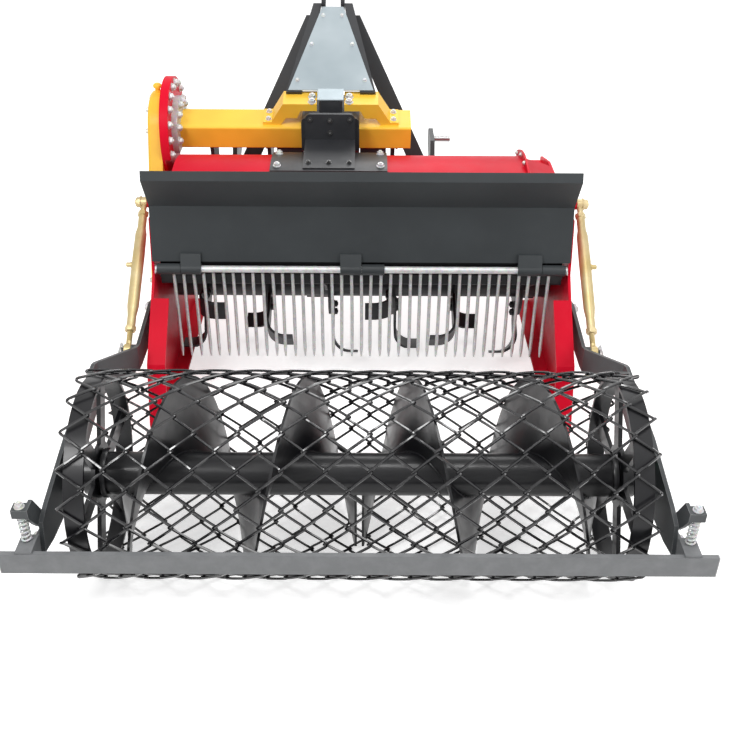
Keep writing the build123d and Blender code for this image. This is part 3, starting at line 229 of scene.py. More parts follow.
red = paint("red_paint", (0.64, 0.005, 0.024), 0.36, dust=0.01, sheen=0.08)
yellow = paint("yellow_paint", (0.92, 0.55, 0.05), 0.36, dust=0.02, sheen=0.3)
grey = paint("plate_grey", (0.036, 0.041, 0.044), 0.46, 0.3, 0.05, (0.11, 0.11, 0.11), sheen=0.3)
black = paint("black_enamel", BLACK, 0.2, 0.2, 0.03, DARK_DUST, coat=0.7)
sheet_black = paint("black_sheet", BLACK, 0.3, 0.15, 0.03, DARK_DUST, coat=0.12, sheen=0.35)
soft_black = paint("black_satin", (0.017, 0.018, 0.021), 0.42, dust=0.08, dusty=(0.08, 0.08, 0.08))
print("paints made")

# %% [markdown]
# ## Worn paint
# The scraper and the roller's arms rub on wire and soil. Wear is a mask: the scraper's cut ends from
# their place, and the plates' sharp edges from their rounded normals. Below its lip the scraper is darker.

# %% Worn finishes
SCRAPER_END = 0.774
SCRAPER_LIP_Z = 0.2085


def scraper_paint(name):
    """Mid grey, lighter on the sawn ends and darker below the lip's height."""
    shop = new_shop(name)
    x, z = (shop.node("ShaderNodeSeparateXYZ", None, {0: shop.place()}, out=axis) for axis in "XZ")
    mottled = shop.noise(24, 5, 0.6)
    body = shop.mix(mottled.above(0.4, 0.7), (0.15, 0.155, 0.16), (0.19, 0.195, 0.2))
    sawn = shop.math("ABSOLUTE", x).above(SCRAPER_END - 0.0005, SCRAPER_END + 0.0005)
    # Near black below the lip's height: a darker band along the bottom of the bar.
    tone_mask = (SCRAPER_LIP_Z - z).above(0, 0.0012)
    return shop.finish(
        Base_Color=shop.mix(tone_mask, shop.mix(sawn, body, (0.42, 0.42, 0.42)), (0.06, 0.06, 0.06)),
        Roughness=0.42 + mottled * 0.12, Normal=shop.bump(shop.noise(380, 2), 0.2, 0.0005),
    )


def worn_grey(name):
    """The plate grey, rubbed bright along the sharp edges of the cut plate."""
    shop = new_shop(name)
    mottled = shop.noise(24, 5, 0.6)
    body = shop.mix(mottled.above(0.4, 0.7), (0.036, 0.04, 0.043), (0.05, 0.055, 0.058))
    tone_mask = shop.edges(0.003) * mottled.above(0.3, 0.6)
    return shop.finish(
        Base_Color=shop.mix(tone_mask * 0.7, body, (0.3, 0.31, 0.31)),
        Roughness=0.4 + mottled * 0.12, Normal=shop.bump(shop.noise(380, 2), 0.25, 0.0005),
    )


pale_grey = scraper_paint("scraper_grey")
edge_grey = worn_grey("edge_grey")
print("worn paints made")

# %% [markdown]
# ## Zinc, sheet and bare steel
# Dipped zinc is dull and spangled in crystals a few millimetres across. Passivated zinc is brighter
# and yellow. The mast's cover is bright rolled sheet with fine lines along it.


# %% Metal finishes
def dipped_zinc(name, bright=1.0):
    """Crystals from Voronoi cells, each with its own tone, over a cloudy noise."""
    shop = new_shop(name)
    crystal = shop.node("ShaderNodeTexVoronoi", None, {"Vector": shop.place(), "Scale": 260}, out=1)
    cloud = shop.noise(45, 4)
    streak = shop.noise(9, 3)
    dull, clear = ([v * bright for v in tone] for tone in ((0.42, 0.42, 0.42), (0.6, 0.61, 0.605)))
    return shop.finish(
        Base_Color=shop.mix(0.12, shop.mix(cloud.above(0.3, 0.7), dull, clear), crystal), Metallic=0.35,
        Roughness=0.34 + cloud * 0.2 + streak * 0.06, Normal=shop.bump(cloud, 0.15, 0.0005),
    )


def golden_zinc(name):
    """A warm tone that drifts from deep to pale gold, with brown spots."""
    shop = new_shop(name)
    drift = shop.noise(14, 3)
    warm = shop.mix(drift.above(0.3, 0.7), (0.52, 0.40, 0.17), (0.62, 0.51, 0.29))
    spots = shop.noise(90, 4).above(0.55, 0.75) * 0.35
    return shop.finish(
        Base_Color=shop.mix(spots, warm, (0.44, 0.32, 0.14)), Metallic=0.5,
        Roughness=0.33 + drift * 0.15, Normal=shop.bump(shop.noise(300, 2), 0.1, 0.0004),
    )


def rolled_sheet(name):
    """Noise drawn out along the sheet, for the roll's fine lines."""
    shop = new_shop(name)
    lines = shop.noise(6, 4, stretch=(90, 3, 3))
    tone = shop.mix(shop.noise(5, 3).above(0.3, 0.7), (0.34, 0.40, 0.43), (0.45, 0.51, 0.54))
    return shop.finish(
        Base_Color=tone, Metallic=0.5, Roughness=0.3 + lines * 0.16, Normal=shop.bump(lines, 0.06, 0.0003)
    )


def bare_steel(name, tone=0.42):
    """Plain steel of one tone, a little lighter and darker by a noise."""
    shop = new_shop(name)
    cloud = shop.noise(70, 4)
    return shop.finish(
        Base_Color=shop.mix(cloud, [tone * 0.7] * 3, [tone * 1.2] * 3), Metallic=1.0,
        Roughness=0.28 + cloud * 0.2,
    )


zinc = dipped_zinc("dipped_zinc")
bright_zinc = dipped_zinc("bright_zinc", 1.25)
gold = golden_zinc("golden_zinc")
silver = rolled_sheet("rolled_sheet")
steel = bare_steel("bare_steel")
dark_steel = bare_steel("dark_steel", 0.16)
green = paint("grease_cap_green", (0.01, 0.22, 0.09), 0.35)
print("metals made")

# %% [markdown]
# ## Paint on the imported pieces
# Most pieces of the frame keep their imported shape, so only their material changes.

# %% Dress the frame's own pieces
DRESS = (
    (red, ("hood", "side_plate_left", "side_plate_right", "gear_case_plate", "hitch_beam")),
    (yellow, ("gear_case", "drive_beam", "beam_stub", "beam_bracket_left", "beam_bracket_right")),
    (grey, ("deflector", "comb_hangers")),
    (edge_grey, ("arm_left", "arm_right", "spring_bracket_left", "spring_bracket_right")),
    (pale_grey, ("scraper_bar",)),
    (sheet_black, (
        "roller_tube", "roller_wheel_left", "roller_wheel_right", "roller_flights", "roller_mesh",
        "roller_bearing_left", "roller_bearing_right",
    )),
    (soft_black, (
        "gearbox", "gearbox_cover", "gearbox_saddle", "beam_saddles", "rotor_bearing", "rotor_shaft",
        "rotor_blades", "mast_stay_left", "mast_stay_right", "mast_leg_left", "mast_leg_right",
        "top_clevis", "hitch_ear_left", "hitch_ear_right",
    )),
    (zinc, ("drive_flange",)),
    (bright_zinc, ("comb_shaft",)),
    (silver, ("mast_cover",)),
    (steel, ("hitch_pin_left", "hitch_pin_right")),
)
for material, names in DRESS:
    for name in names:
        nodes[name].data.materials.clear()
        nodes[name].data.materials.append(material)
print("dressed", sum(len(names) for material, names in DRESS), "nodes")

# %% [markdown]
# ## From grids to meshes
# A surface is a grid of points worked out in one go. The helper joins neighbours into quads, closes
# the grid round itself where it is a tube or a ring, and caps a tube's open ends. A shape is a pair:
# its points and its faces.

# %% Mesh helpers
SHARP = math.radians(38)


def grid_faces(rows, columns, wrap_rows=False, wrap_columns=True):
    """Quads between neighbouring rows and columns."""
    r = np.arange(rows if wrap_rows else rows - 1)[:, None]
    c = np.arange(columns if wrap_columns else columns - 1)[None, :]
    r2 = (r + 1) % rows
    c2 = (c + 1) % columns
    quads = np.stack([r * columns + c, r * columns + c2, r2 * columns + c2, r2 * columns + c], -1)
    return quads.reshape(-1, 4).tolist()


def end_caps(rows, columns):
    """One face over a tube's first ring of points and one over its last."""
    last = (rows - 1) * columns
    return [list(range(columns))[::-1], list(range(last, last + columns))]


def make_piece(name, shape, body, material, replaces=()):
    """Turn a shape into a mesh that rides on a body, smooth but for its sharp edges."""
    points, faces = shape
    mesh = bpy.data.meshes.new(name)
    mesh.from_pydata(points.tolist(), [], faces)
    mesh.materials.append(material)
    mesh.polygons.foreach_set("use_smooth", np.full(len(mesh.polygons), True))
    mesh.set_sharp_from_angle(angle=SHARP)
    mesh.validate()
    piece = bpy.data.objects.new(name, mesh)
    scene.collection.objects.link(piece)
    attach(piece, body)
    if replaces:
        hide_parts(*replaces)
    print(name, len(mesh.polygons), "faces")


def tube(path, radius, sides=8, closed=False, up=(0.0, 0.0, 1.0)):
    """A round section carried along a path. The section's axes are the cross products of the path's
    own direction and a fixed up direction; radius may change along the path."""
    path = np.asarray(path, float)
    ahead = np.roll(path, -1, 0) - np.roll(path, 1, 0)
    if not closed:
        ahead[0] = path[1] - path[0]
        ahead[-1] = path[-1] - path[-2]
    ahead /= np.linalg.norm(ahead, axis=1)[:, None]
    side = np.cross(ahead, np.broadcast_to(np.asarray(up, float), path.shape))
    side /= np.linalg.norm(side, axis=1)[:, None]
    over = np.cross(side, ahead)
    angle = np.linspace(0, 2 * np.pi, sides, endpoint=False)[None, :, None]
    radius = np.broadcast_to(np.asarray(radius, float), (len(path),))[:, None, None]
    points = path[:, None] + radius * (np.cos(angle) * side[:, None] + np.sin(angle) * over[:, None])
    faces = grid_faces(len(path), sides, closed) + ([] if closed else end_caps(len(path), sides))
    return points.reshape(-1, 3), faces


def across(axis):
    """The axis as a unit vector, and two directions at right angles to it."""
    axis = np.asarray(axis, float) / np.linalg.norm(axis)
    helper = np.array([0, 0, 1.0]) if abs(axis[2]) < 0.8 else np.array([0, 1.0, 0])
    side = np.cross(helper, axis)
    side /= np.linalg.norm(side)
    return axis, side, np.cross(axis, side)


def turned(place, axis, rings, sides=24, hollow=False):
    """A profile of (height, radius) turned about an axis: place + h * axis + r * (cos a, sin a).
    A radius may be an array over the angle, for hexagons and splines. A hollow profile is a loop."""
    axis, side, over = across(axis)
    angle = np.linspace(0, 2 * np.pi, sides, endpoint=False)
    round_way = np.cos(angle)[:, None] * side + np.sin(angle)[:, None] * over
    points = np.stack([
        np.asarray(place, float) + height * axis
        + np.broadcast_to(np.asarray(radius, float), (sides,))[:, None] * round_way
        for height, radius in rings
    ])
    faces = grid_faces(len(rings), sides, hollow) + ([] if hollow else end_caps(len(rings), sides))
    return points.reshape(-1, 3), faces


def prism(outline, x_from, x_to):
    """A closed outline in Y and Z, counted anticlockwise seen from +X, carried along X."""
    outline = np.asarray(outline, float)
    count = len(outline)
    points = np.concatenate([np.column_stack([np.full(count, x), outline]) for x in (x_from, x_to)])
    return points, grid_faces(2, count) + end_caps(2, count)


def joined(shapes):
    """Several shapes as one: their points in a row, and their faces counted on."""
    points, faces, count = [], [], 0
    for shape_points, shape_faces in shapes:
        points.append(shape_points)
        faces += [[i + count for i in face] for face in shape_faces]
        count += len(shape_points)
    return np.concatenate(points), faces


def both_sides(shape_of):
    """The shapes that a function gives for the left side, -1, and the right side, 1."""
    return joined([shape_of(-1), shape_of(1)])


print("mesh helpers ready")

# %% [markdown]
# ## The woven mesh
# Each wire is a flattened coil that runs once round the roller. One way it lies on the outside, the
# other way on the inside, and it changes over in a tight bend at each tip, where the next wire hooks
# through it. Straight strands with small bends are what makes it read as woven wire.

# %% Weave the roller's mesh
MESH_ROWS = 27
MESH_STEP = 0.048
MESH_DIAMONDS = 18
MESH_HOOK = 0.0036
WIRE_R = 0.0034
WIRE_GAP = 0.0001
BEND = 0.036
CHANGE = 0.09
SEGMENT = np.array([0, 0.018, 0.036, 0.09, 0.36, 0.64, 0.91, 0.964, 0.982])
mesh_low, mesh_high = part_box("roller_mesh")
ROLLER_R = (mesh_high.z - mesh_low.z) / 2


def weave():
    """A triangle wave 1 - 2u along the axle, with u the way from the last tip, whose corner is the
    parabola u * u / BEND + BEND; the layer is sin(pi / 2 * u / CHANGE), and changes sign at a tip."""
    t = (np.arange(MESH_DIAMONDS * 2)[:, None] + SEGMENT).ravel()
    part = t % 1
    way = np.where(np.floor(t) % 2 == 0, 1, -1)
    near = np.minimum(part, 1 - part)
    edge = 1 - np.where(near < BEND, near ** 2 / BEND + BEND, 2 * near)
    swing = np.where(part < 0.5, way, -way) * edge / (1 - BEND)
    layer = way * np.sin(np.pi / 2 * np.clip(near / CHANGE, 0, 1))
    radius = ROLLER_R - 2 * WIRE_R - 4 * WIRE_GAP + layer * (WIRE_R + WIRE_GAP)
    wires = []
    for row in range(MESH_ROWS):
        angle = np.pi * (t + row % 2) / MESH_DIAMONDS
        x = (row - (MESH_ROWS - 1) / 2) * MESH_STEP + swing * (MESH_STEP / 2 + MESH_HOOK)
        outward = np.stack([x * 0, np.sin(angle), -np.cos(angle)], 1)
        path = np.stack([x, x * 0 + ROLLER_Y, x * 0 + ROLLER_Z], 1) + radius[:, None] * outward
        wires.append(tube(path, WIRE_R, 6, closed=True, up=outward))
    return joined(wires)


make_piece("woven_mesh", weave(), "roller", black, replaces=("roller_mesh",))

# %% [markdown]
# ## The flights
# A flight is a ring of flat sheet, cut and pulled out along the tube until it lies on a helix. The
# surface is a radius and an angle: its place along the tube grows with the angle. The two flights are
# of opposite hand, and push the soil out to both sides.

# %% Roll the flights
FLIGHT_START = 0.006
FLIGHT_PITCH = 0.283
FLIGHT_TURNS = 2
FLIGHT_SHEET = 0.006
WELD_R = 0.005
WELD_WAVE = 0.0008
flight_low, flight_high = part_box("roller_flights")
FLIGHT_R = (flight_high.z - flight_low.z) / 2
TUBE_R = (tube_high.z - tube_low.z) / 2


def on_helix(side, turns, radius, skin):
    """x grows with the turns; y and z are the radius times cosine and sine, from straight below."""
    angle = turns * 2 * np.pi - np.pi / 2
    x = side * (FLIGHT_START + turns * FLIGHT_PITCH + skin)
    y = ROLLER_Y + radius * np.cos(angle)
    z = ROLLER_Z + radius * np.sin(angle)
    return np.stack(np.broadcast_arrays(x, y, z), -1)


def flight(side):
    """Radius by angle on a helix, as two skins joined along their rims."""
    turns = np.linspace(0, FLIGHT_TURNS, 145)[:, None]
    share = np.array([0, 0.3, 0.65, 1, 1, 0.65, 0.3, 0])
    skin = np.array([0, 0, 0, 0, 1, 1, 1, 1]) * FLIGHT_SHEET
    grid = on_helix(side, turns, TUBE_R + (FLIGHT_R - TUBE_R) * share, skin)
    if side > 0:
        grid = grid[:, ::-1]
    rows, columns = grid.shape[:2]
    return grid.reshape(-1, 3), grid_faces(rows, columns) + end_caps(rows, columns)


def flight_weld(side):
    """The fillet weld at a flight's root, a bead whose radius waves a little on the same helix."""
    turns = np.linspace(0.01, FLIGHT_TURNS - 0.01, 240)
    path = on_helix(side, turns, TUBE_R + 0.001, FLIGHT_SHEET / 2)
    return tube(path, WELD_R + WELD_WAVE * np.sin(turns * 260), 8, up=(1, 0, 0))


make_piece("helical_flights", both_sides(flight), "roller", sheet_black,
           replaces=("roller_flights",))
make_piece("flight_welds", both_sides(flight_weld), "roller", sheet_black)

# %% [markdown]
# ## The comb
# Thirty-nine rods hang just under the shaft, in front of a black cross strip. Each is rolled bar with
# a tapered, worn tip, and after one season none is quite straight, so each gets its own small lean.

# %% Hang the tines
TINE_COUNT = 39
TINE_PITCH = 0.0287
TINE_R = 0.005
TINE_TIP_Z = 0.13
TINE_UNDER_SHAFT = 0.013
LEAN, BOW, SWAY = 0.0016, 0.0008, 0.0012
shaft_low, shaft_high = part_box("comb_shaft")
COMB_Y = (shaft_low.y + shaft_high.y) / 2
COMB_Z = (shaft_low.z + shaft_high.z) / 2
COMB_SHAFT_R = (shaft_high.z - shaft_low.z) / 2
chance = np.random.default_rng(39)


def tines():
    """Straight lines down, plus a lean that grows with the depth and a bow that is half a sine."""
    along = np.linspace(0, 1, 12)
    radius = TINE_R * np.interp(along, [0, 0.9, 0.975, 1], [0.95, 1, 0.85, 0.5])
    shapes = []
    for i in range(TINE_COUNT):
        x = (i - (TINE_COUNT - 1) / 2) * TINE_PITCH
        lean, bow, sway = chance.normal(0, (LEAN, BOW, SWAY))
        path = np.stack([
            x + lean * along + bow * np.sin(np.pi * along),
            COMB_Y + sway * np.sin(np.pi * along),
            (COMB_Z - TINE_UNDER_SHAFT) * (1 - along) + TINE_TIP_Z * along,
        ], 1)
        shapes.append(tube(path, radius, 8, up=(0, 1, 0)))
    return joined(shapes)


comb_rods = tines()
print("tines", TINE_COUNT)

# %% [markdown]
# ## Strip, knuckles and apron
# The strip ties the tines together, and three knuckles hang it on the shaft. A folded apron under the
# deflector's edge keeps soil off the shaft.

# %% Hang the comb
STRIP_HALF = 0.585
STRIP_LOW, STRIP_HIGH, STRIP_THICK, STRIP_EDGE = 0.377, 0.410, 0.008, 0.0015
KNUCKLE_R, KNUCKLE_BEVEL, KNUCKLE_PLAY = 0.016, 0.001, 0.0004
KNUCKLES = ((-0.591, -0.523), (0.001, 0.067), (0.523, 0.591))
APRON = (
    (0.1005, 0.4525), (0.106, 0.4505), (0.106, 0.418), (0.109, 0.418), (0.109, 0.4525), (0.1005, 0.4555),
)


def comb_strip():
    """A flat bar in front of the tines, with its two rear edges broken."""
    rear, front = COMB_Y + TINE_R - 0.0005, COMB_Y + TINE_R + STRIP_THICK
    outline = [
        (rear, STRIP_LOW + STRIP_EDGE), (rear + STRIP_EDGE, STRIP_LOW), (front, STRIP_LOW),
        (front, STRIP_HIGH), (rear + STRIP_EDGE, STRIP_HIGH), (rear, STRIP_HIGH - STRIP_EDGE),
    ]
    return prism(outline, -STRIP_HALF, STRIP_HALF)


def comb_knuckles():
    """Three rings that turn on the shaft, each with a lug down to the strip."""
    bore, bevelled = COMB_SHAFT_R + KNUCKLE_PLAY, KNUCKLE_R - KNUCKLE_BEVEL
    lug = [
        (COMB_Y + 0.005, STRIP_HIGH - 0.012), (COMB_Y + 0.013, STRIP_HIGH - 0.012),
        (COMB_Y + 0.013, COMB_Z - 0.004), (COMB_Y + 0.008, COMB_Z - 0.012),
    ]
    shapes = []
    for start, end in KNUCKLES:
        wide = end - start
        shapes.append(turned((start, COMB_Y, COMB_Z), (1, 0, 0), [
            (0, bore), (0, bevelled), (KNUCKLE_BEVEL, KNUCKLE_R), (wide - KNUCKLE_BEVEL, KNUCKLE_R),
            (wide, bevelled), (wide, bore),
        ], 32, hollow=True))
        shapes.append(prism(lug, start + 0.004, end - 0.004))
    return joined(shapes)


make_piece("deflector_apron", prism(APRON, -STRIP_HALF, STRIP_HALF), "frame", sheet_black)
make_piece("comb_tines", comb_rods, "comb", zinc, replaces=("comb",))
make_piece("comb_cross_strip", comb_strip(), "comb", sheet_black)
make_piece("comb_knuckles", comb_knuckles(), "comb", grey)

# %% [markdown]
# ## Bolts
# Every joint of plates has its bolts: a washer, a six-sided nut or head with a chamfered crown, and
# the end of the thread. One profile is turned about the bolt's own axis, with its corners pushed out
# to a hexagon between the washer and the crown.

# %% Bolt maker
BOLT_SIDES = 24
# Thread diameters.
BOLT_18, BOLT_16, BOLT_14, BOLT_11 = 0.018, 0.016, 0.014, 0.011
BOLT_10, BOLT_8, BOLT_7, BOLT_6 = 0.010, 0.008, 0.007, 0.006


def hexagon():
    """How far each side of the turned profile stands out: cos 30 over the cosine of the angle from
    the nearest flat's middle."""
    angle = np.linspace(0, 2 * np.pi, BOLT_SIDES, endpoint=False)
    return math.cos(math.pi / 6) / np.cos((angle % (math.pi / 3)) - math.pi / 6)


def bolt(place, axis, size, thread=0.35):
    """Washer, hexagon and thread end, standing on place; every measure is a share of the size."""
    hexed = size * 0.95 * hexagon()
    washer, crown, pin = size * 1.15, np.minimum(hexed, size * 0.82), size * 0.47
    return turned(place, axis, [
        (-0.1 * size, washer), (0.16 * size, washer), (0.16 * size, hexed), (0.78 * size, hexed),
        (0.9 * size, crown), (0.9 * size, pin), ((0.85 + thread) * size, pin),
        ((0.9 + thread) * size, pin * 0.8),
    ], BOLT_SIDES)


def bolts(name, rows, body, material=bright_zinc):
    """Each row is place, axis, thread diameter and, where it differs, the thread's own length."""
    make_piece(name, joined([bolt(*row) for row in rows]), body, material)


print("bolt sides", BOLT_SIDES)

# %% [markdown]
# ## The drive head
# A heavy round plate closes the gear case. Its rim carries a ring of bolts, and a second ring clamps
# the beam's flange to it. The tilted beam has its own frame: ahead along its top, and up from it.

# %% Bolt the drive head
BEAM_Y, BEAM_Z, BEAM_TILT = 0.5535, 0.683, math.radians(15)
BEAM_TOP, PAD_TOP, PAD_LOW = 0.0385, 0.1125, 0.0485
GEARBOX_X = -0.0975
HOOD_Y, HOOD_Z = 0.3235, 0.356
PLATE_X, PLATE_RING_R = -0.584, 0.140
FLANGE_X, FLANGE_RING_R = -0.566, 0.083
SADDLE_X, SADDLE_R = 0.152, 0.3153
HOOD_END_X, HOOD_END_R = 0.480, 0.317
PAD_BOLT_X, STEP_BOLT_X, CLAMP_BOLT_X = 0.057, 0.194, (0.140, 0.158, 0.206)
beam_ahead = np.array([0, math.cos(BEAM_TILT), math.sin(BEAM_TILT)])
beam_up = np.array([0, -math.sin(BEAM_TILT), math.cos(BEAM_TILT)])


def on_beam(x, ahead, up):
    """A point in the tilted beam's own frame."""
    return np.array([x, BEAM_Y, BEAM_Z]) + ahead * beam_ahead + up * beam_up


def on_ring(x, radius, degrees, y=BEAM_Y, z=BEAM_Z):
    """A point on a circle about X: the radius times cosine and sine of the angle."""
    turn = math.radians(degrees)
    return x, y + radius * math.cos(turn), z + radius * math.sin(turn)


rows = [(on_ring(PLATE_X, PLATE_RING_R, a), (1, 0, 0), BOLT_11) for a in range(-14, 200, 19)]
rows += [(on_ring(FLANGE_X, FLANGE_RING_R, a), (1, 0, 0), BOLT_11) for a in range(-8, 200, 28)]
for side in (-1, 1):
    pad, step = GEARBOX_X + side * PAD_BOLT_X, GEARBOX_X + side * STEP_BOLT_X
    rows += [(on_beam(pad, ahead, PAD_TOP), beam_up, BOLT_11) for ahead in (-0.024, 0.003)]
    rows += [(on_beam(step, ahead, PAD_LOW), beam_up, BOLT_8) for ahead in (-0.020, 0.020)]
    for reach in CLAMP_BOLT_X:
        rows.append((on_beam(GEARBOX_X + side * reach, -0.030, -BEAM_TOP), -beam_up, BOLT_7, 1.2))
    for degrees in (98, 80):
        place = on_ring(GEARBOX_X + side * SADDLE_X, SADDLE_R, degrees, HOOD_Y, HOOD_Z)
        rows.append((place, on_ring(0, 1, degrees, 0, 0), BOLT_10))
for degrees in (66, 80, 94, 108):
    rows.append((on_ring(HOOD_END_X, HOOD_END_R, degrees, HOOD_Y, HOOD_Z), (-1, 0, 0), BOLT_6))
bolts("drive_bolts", rows, "frame")

# %% [markdown]
# ## The gearbox
# A dark cover is screwed on its rear, and its saddle's foot to the hood. Two small webs stiffen the
# saddle beside it.

# %% Bolt the gearbox
COVER_REAR = 0.4255
FOOT_PLACE, FOOT_UP = (0.290, 0.6735), (0, -0.157, 0.988)
WEB = ((0.520, 0.596), (0.528, 0.5905), (0.528, 0.6355), (0.520, 0.6335))
WEB_NEAR, WEB_FAR = 0.090, 0.172
rows = [((GEARBOX_X + x, COVER_REAR, z), (0, -1, 0), BOLT_7)
        for x, z in ((-0.060, 0.757), (0, 0.754), (0.060, 0.757), (0, 0.716))]
rows += [((GEARBOX_X + x, *FOOT_PLACE), FOOT_UP, BOLT_7) for x in (-0.060, 0, 0.060)]
bolts("cover_bolts", rows, "frame", dark_steel)
webs = joined([
    prism(WEB, GEARBOX_X - WEB_FAR, GEARBOX_X - WEB_NEAR),
    prism(WEB, GEARBOX_X + WEB_NEAR, GEARBOX_X + WEB_FAR),
])
make_piece("saddle_webs", webs, "frame", soft_black)

# %% [markdown]
# ## The mast's cover
# The bright sheet lies on two sloping stays, held down by small round-headed screws. Its place comes
# from the same slope as the stays: from the brackets' pads up to the top link.

# %% Screw down the mast's cover
STAY_FOOT = np.array([GEARBOX_X, 0.54177, 0.79663])
STAY_RUN = np.array([0, 0.33673, 0.20837])
COVER_FACE = 0.013
TONGUE = ((0.4915, 0.7940), (0.5420, 0.8118), (0.5420, 0.8143), (0.4915, 0.7965))
TONGUE_HALF = 0.040
stay_way = STAY_RUN / np.linalg.norm(STAY_RUN)
stay_up = np.array([0, -stay_way[2], stay_way[1]])
rows = []
for along, reach in ((0.045, 0.104), (0.19, 0.064), (0.31, 0.030)):
    for side in (-1, 1):
        place = STAY_FOOT + along * stay_way + COVER_FACE * stay_up + np.array([side * reach, 0, 0])
        rows.append((place, stay_up, BOLT_6, 0.1))
bolts("cover_screws", rows, "frame")
tongue = prism(TONGUE, GEARBOX_X - TONGUE_HALF, GEARBOX_X + TONGUE_HALF)
make_piece("cover_tongue", tongue, "frame", silver)

# %% [markdown]
# ## The gear case from its side
# The case is closed by a ring of small bolts, and a round boss shows where the rotor's end runs. The
# breather on top lets warm air out of the oil: a short stem under a mushroom cap.

# %% Bolt the gear case
ROTOR_Y, ROTOR_Z = 0.3435, 0.25
CASE_MIDDLE_X, CASE_LOW_RING_R, CASE_TOP_RING_R = -0.6325, 0.086, 0.096
BREATHER_DROP = 0.016
case_low, case_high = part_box("gear_case")
CASE_FACE = case_low.x
rows = [(on_ring(CASE_FACE, CASE_LOW_RING_R, a, ROTOR_Y, ROTOR_Z), (-1, 0, 0), BOLT_8, 0.1)
        for a in range(150, 350, 38)]
rows += [(on_ring(CASE_FACE, CASE_TOP_RING_R, a), (-1, 0, 0), BOLT_8, 0.1) for a in range(-34, 170, 40)]
bolts("case_bolts", rows, "frame")
breather = turned((CASE_MIDDLE_X, BEAM_Y, case_high.z - BREATHER_DROP), (0, 0, 1), [
    (0, 0.007), (0.004, 0.013), (0.010, 0.0135), (0.0145, 0.010), (0.0158, 0.004),
])
boss = turned((CASE_FACE, ROTOR_Y, ROTOR_Z), (-1, 0, 0), [
    (-0.001, 0.050), (0.006, 0.050), (0.009, 0.046), (0.009, 0.020), (0.013, 0.016), (0.013, 0.002),
], 40)
make_piece("case_breather", joined([breather, boss]), "frame", yellow)

# %% [markdown]
# ## The rotor's blades
# Each blade is bolted to its flange by two bolts through the foot, because blades wear out and are
# changed in the field. The heads stand on the blade and turn with the rotor.

# %% Bolt the blades
STATIONS, STATION_STEP, STATION_TWIST = 6, 0.2, 30
FLANGE_HALF, BLADE_THICK = 0.005, 0.008
rows = []
for station in range(STATIONS):
    middle = (station - (STATIONS - 1) / 2) * STATION_STEP
    for side, first in ((-1, 0), (1, 90)):
        for turn in (0, 180):
            lean = first + turn + station * STATION_TWIST
            for radius in (0.070, 0.094):
                x = middle + side * (FLANGE_HALF + BLADE_THICK)
                rows.append((on_ring(x, radius, lean + 90, ROTOR_Y, ROTOR_Z), (side, 0, 0), BOLT_11, 0.2))
bolts("blade_bolts", rows, "rotor", soft_black)

# %% [markdown]
# ## The drive stub
# The tractor's shaft pushes on over six splines. A round with six flat-bottomed grooves comes from
# the same turned profile, with a radius that falls wherever a cosine of six times the angle is low.

# %% Spline the drive stub
pto_low, pto_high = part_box("pto_shaft")
PTO_R, PTO_ROOT, PTO_PLAIN_R = (pto_high.z - pto_low.z) / 2, 0.0148, 0.0152
PTO_SIDES = 96
angle = np.linspace(0, 2 * np.pi, PTO_SIDES, endpoint=False)
splined = PTO_ROOT + (PTO_R - PTO_ROOT) * np.clip(np.cos(6 * angle) * 4 + 2, 0, 1)
groove = PTO_PLAIN_R * 0.95
span = pto_high.y - pto_low.y
stub = turned(((pto_low.x + pto_high.x) / 2, pto_low.y, (pto_low.z + pto_high.z) / 2), (0, 1, 0), [
    (0, PTO_PLAIN_R), (0.029, PTO_PLAIN_R), (0.031, splined), (span - 0.032, splined),
    (span - 0.031, groove), (span - 0.025, groove), (span - 0.024, splined), (span - 0.003, splined),
    (span, splined * 0.9),
], PTO_SIDES)
make_piece("splined_stub", stub, "pto", steel, replaces=("pto_shaft",))

# %% [markdown]
# ## The adjusting rods
# Each rod is a turnbuckle in yellow zinc. An eye hangs on a pin of the side plate, then a thin neck, a
# six-sided collar, the tube with a swollen middle and a short handle, a lock nut, and the threaded
# screw that ends in the lower eye. Its pin is held by a spring ring.

# %% Rod helpers
ROD_TOP = np.array([0, 0.3035, 0.540])
ROD_LOW = np.array([0, -0.1065, 0.270])
ROD_X = 0.657
NECK = 0.036
BORE_R, WAIST_R, SHOULDER_R, MIDDLE_R, COLLAR_R = 0.0086, 0.0125, 0.0165, 0.0175, 0.016
SCREW_R, THREAD_DEPTH, EYE_HALF = 0.008, 0.0009, 0.010
rod_length = np.linalg.norm(ROD_LOW - ROD_TOP)
rod_way = (ROD_LOW - ROD_TOP) / rod_length
rod_up = np.array([0, rod_way[2], -rod_way[1]])
TUBE_END = rod_length - 0.073


def along_rod(side, reach):
    """A point on a rod's axis, a reach below its upper eye."""
    return np.array([side * ROD_X, 0, 0]) + ROD_TOP + reach * rod_way


def eye_ring(centre, inner, outer):
    """A short thick ring about X with rounded corners."""
    bevel = 0.002
    return turned(centre - np.array([EYE_HALF, 0, 0]), (1, 0, 0), [
        (0, inner), (0, outer - bevel), (bevel, outer), (2 * EYE_HALF - bevel, outer),
        (2 * EYE_HALF, outer - bevel), (2 * EYE_HALF, inner),
    ], 32, hollow=True)


